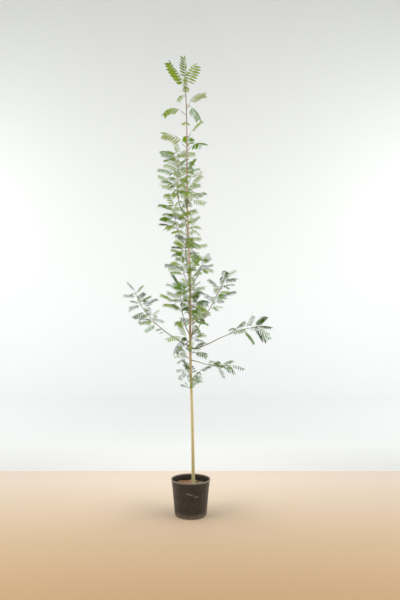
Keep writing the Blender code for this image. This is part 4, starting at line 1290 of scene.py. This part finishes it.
rng = random.Random(LEAFLET_SEED)
stalks = ([], [], [])
blades = {tone: ([], [], []) for tone in BLADES}
for row in rows:
    for leaf in row["grown"]:
        high = (leaf.base.z - CROWN_FOOT) / (CROWN_HEAD - CROWN_FOOT)
        outer = min(1.0, math.hypot(leaf.base.x, leaf.base.y) / CROWN_REACH)
        # Painted light and shade on a random share: paler high up and near the trunk, darker low down and
        # outside.
        light = rng.random() * LIGHT_SPREAD + LIGHT_BY_HEIGHT * high - LIGHT_BY_REACH * outer
        tone = next(tone for tone in BLADES if light < BLADES[tone][0])
        dress(leaf, blades[tone], stalks, rng)
leaf_stalks = add_piece("leaf_stalks", stalks, [stalk_skin])
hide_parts(*mass_nodes)
for tone in BLADES:
    leaves = add_piece("leaves_" + tone, blades[tone], blade_looks[tone])
    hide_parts(*mass_nodes)


# Studio. A pale plain floor that gives way behind the plant to a white sweep, which rises far
# back as the wall, soft light from all sides, and a level camera four metres in front at the
# height of the lower crown.
FLOOR_END = 1.23
STUDIO_HALF = 12.0
SWEEP_START = 6.5
SWEEP_RADIUS = 1.5
SWEEP_STEPS = 16
WALL_HEIGHT = 12.0
AIR_STRENGTH = 0.44
CAMERA_BACK = 4.10
CAMERA_HEIGHT = 1.356
IMAGE_HEIGHT = 600
FOCAL_PIXELS = 574
HORIZON_SHIFT = 25
SIDE_SHIFT = 9.3
SENSOR = 24.0


def graded_paint(name, roughness, start, end, stops):
    """Matt paint whose tone changes between two distances back from the plant."""
    paint, tree, shader = new_material(name, roughness)
    place = add_node(tree, "TexCoord").outputs["Object"]
    back = add_node(tree, "SeparateXYZ", {"Vector": place}).outputs["Y"]
    gradient_share = add_node(tree, "MapRange", {"Value": back, "From Min": start, "From Max": end})
    feed(shader, {"Base Color": add_node(tree, "ValToRGB", {"Fac": gradient_share}, stops)})
    return paint


# Floor paint, rolled: matt and warm, paler towards the back, a painted reflection of the white wall in its
# sheen.
# The paler far tone is a painted reflection of the wall, not fading.
floor_paint = graded_paint(
    "floor_paint_and_painted_reflection", 0.85, -1.3, 0.9, ((0.0, "#c7a67e"), (1.0, "#e3d5c5"), (0.40, "#d1b899"))
)

# Wall emulsion, rolled: dead matt and white, a little greyer where it meets the floor paint.
wall_paint = graded_paint(
    "wall_emulsion_matt", 0.95, FLOOR_END, 3.3, ((0.0, "#e4e6e6"), (1.0, "#f8fbfb"), (0.55, "#f6f9f9"))
)


def studio_sheet(name, profile, paint):
    """Sheet as wide as the studio that follows a profile of distances back and heights."""
    points = [(side * STUDIO_HALF, back, height) for back, height in profile for side in (-1, 1)]
    faces = [(2 * i, 2 * i + 1, 2 * i + 3, 2 * i + 2) for i in range(len(profile) - 1)]
    link_mesh(name, points, faces, [paint])


studio_sheet("studio_floor", [(-STUDIO_HALF, 0.0), (FLOOR_END, 0.0)], floor_paint)
sweep_profile = [(FLOOR_END, 0.0)]
for i in range(SWEEP_STEPS + 1):
    turn = math.pi / 2 * i / SWEEP_STEPS
    rise = SWEEP_RADIUS * (1 - math.cos(turn))
    sweep_profile.append((SWEEP_START + SWEEP_RADIUS * math.sin(turn), rise))
sweep_profile.append((SWEEP_START + SWEEP_RADIUS, WALL_HEIGHT))
studio_sheet("studio_wall", sweep_profile, wall_paint)

world = bpy.data.worlds.new("studio_air")
world.use_nodes = True
feed(world.node_tree.nodes["Background"], {"Color": from_hex("#f5f8f8"), "Strength": AIR_STRENGTH})
bpy.context.scene.world = world

# Softboxes in front, wide fills at the sides, two washes on the wall and one on the floor:
# place, point lit, side of the lit square in metres, watts, beam in degrees and tint.
for name, place, aim, size, power, spread, tint in (
    ("softbox_left", (-3.2, -1.9, 2.8), (0, 0, 1.5), 2.0, 68, 180, "#fff7ee"),
    ("softbox_right", (3.2, -1.9, 2.8), (0, 0, 1.5), 2.0, 57, 180, "#fff7ee"),
    ("side_fill_left", (-4.8, -0.4, 2.3), (0.6, 0.6, 1.0), 3.2, 62, 180, "#fff7ee"),
    ("side_fill_right", (4.8, -0.4, 2.3), (-0.6, 0.6, 1.0), 3.2, 62, 180, "#fff7ee"),
    ("wall_wash_left", (-6.8, 3.2, 4.1), (0.0, 8.0, 3.9), 2.2, 182, 180, "#ffffff"),
    ("wall_wash_right", (6.8, 3.2, 4.1), (0.0, 8.0, 3.9), 2.2, 182, 180, "#ffffff"),
    ("floor_wash", (0.0, 0.85, 5.2), (0.0, 0.95, 0.0), 2.2, 3.5, 36, "#fff7ee"),
):
    lamp = bpy.data.lights.new(name, "AREA")
    lamp.shape = "SQUARE"
    lamp.size = size
    lamp.energy = power
    lamp.spread = math.radians(spread)
    lamp.color = from_hex(tint)[:3]
    light = bpy.data.objects.new(name, lamp)
    light.location = place
    light.rotation_euler = (Vector(aim) - Vector(place)).to_track_quat("-Z", "Y").to_euler()
    bpy.context.scene.collection.objects.link(light)

camera = bpy.data.objects.new("camera", bpy.data.cameras.new("camera"))
camera.data.sensor_fit = "VERTICAL"
camera.data.sensor_height = SENSOR
camera.data.lens = SENSOR * FOCAL_PIXELS / IMAGE_HEIGHT
camera.data.shift_x = SIDE_SHIFT / IMAGE_HEIGHT
camera.data.shift_y = HORIZON_SHIFT / IMAGE_HEIGHT
camera.location = (0.0, -CAMERA_BACK, CAMERA_HEIGHT)
camera.rotation_euler = (math.pi / 2, 0.0, 0.0)
bpy.context.scene.collection.objects.link(camera)
bpy.context.scene.camera = camera
bpy.context.scene.view_settings.view_transform = "Standard"
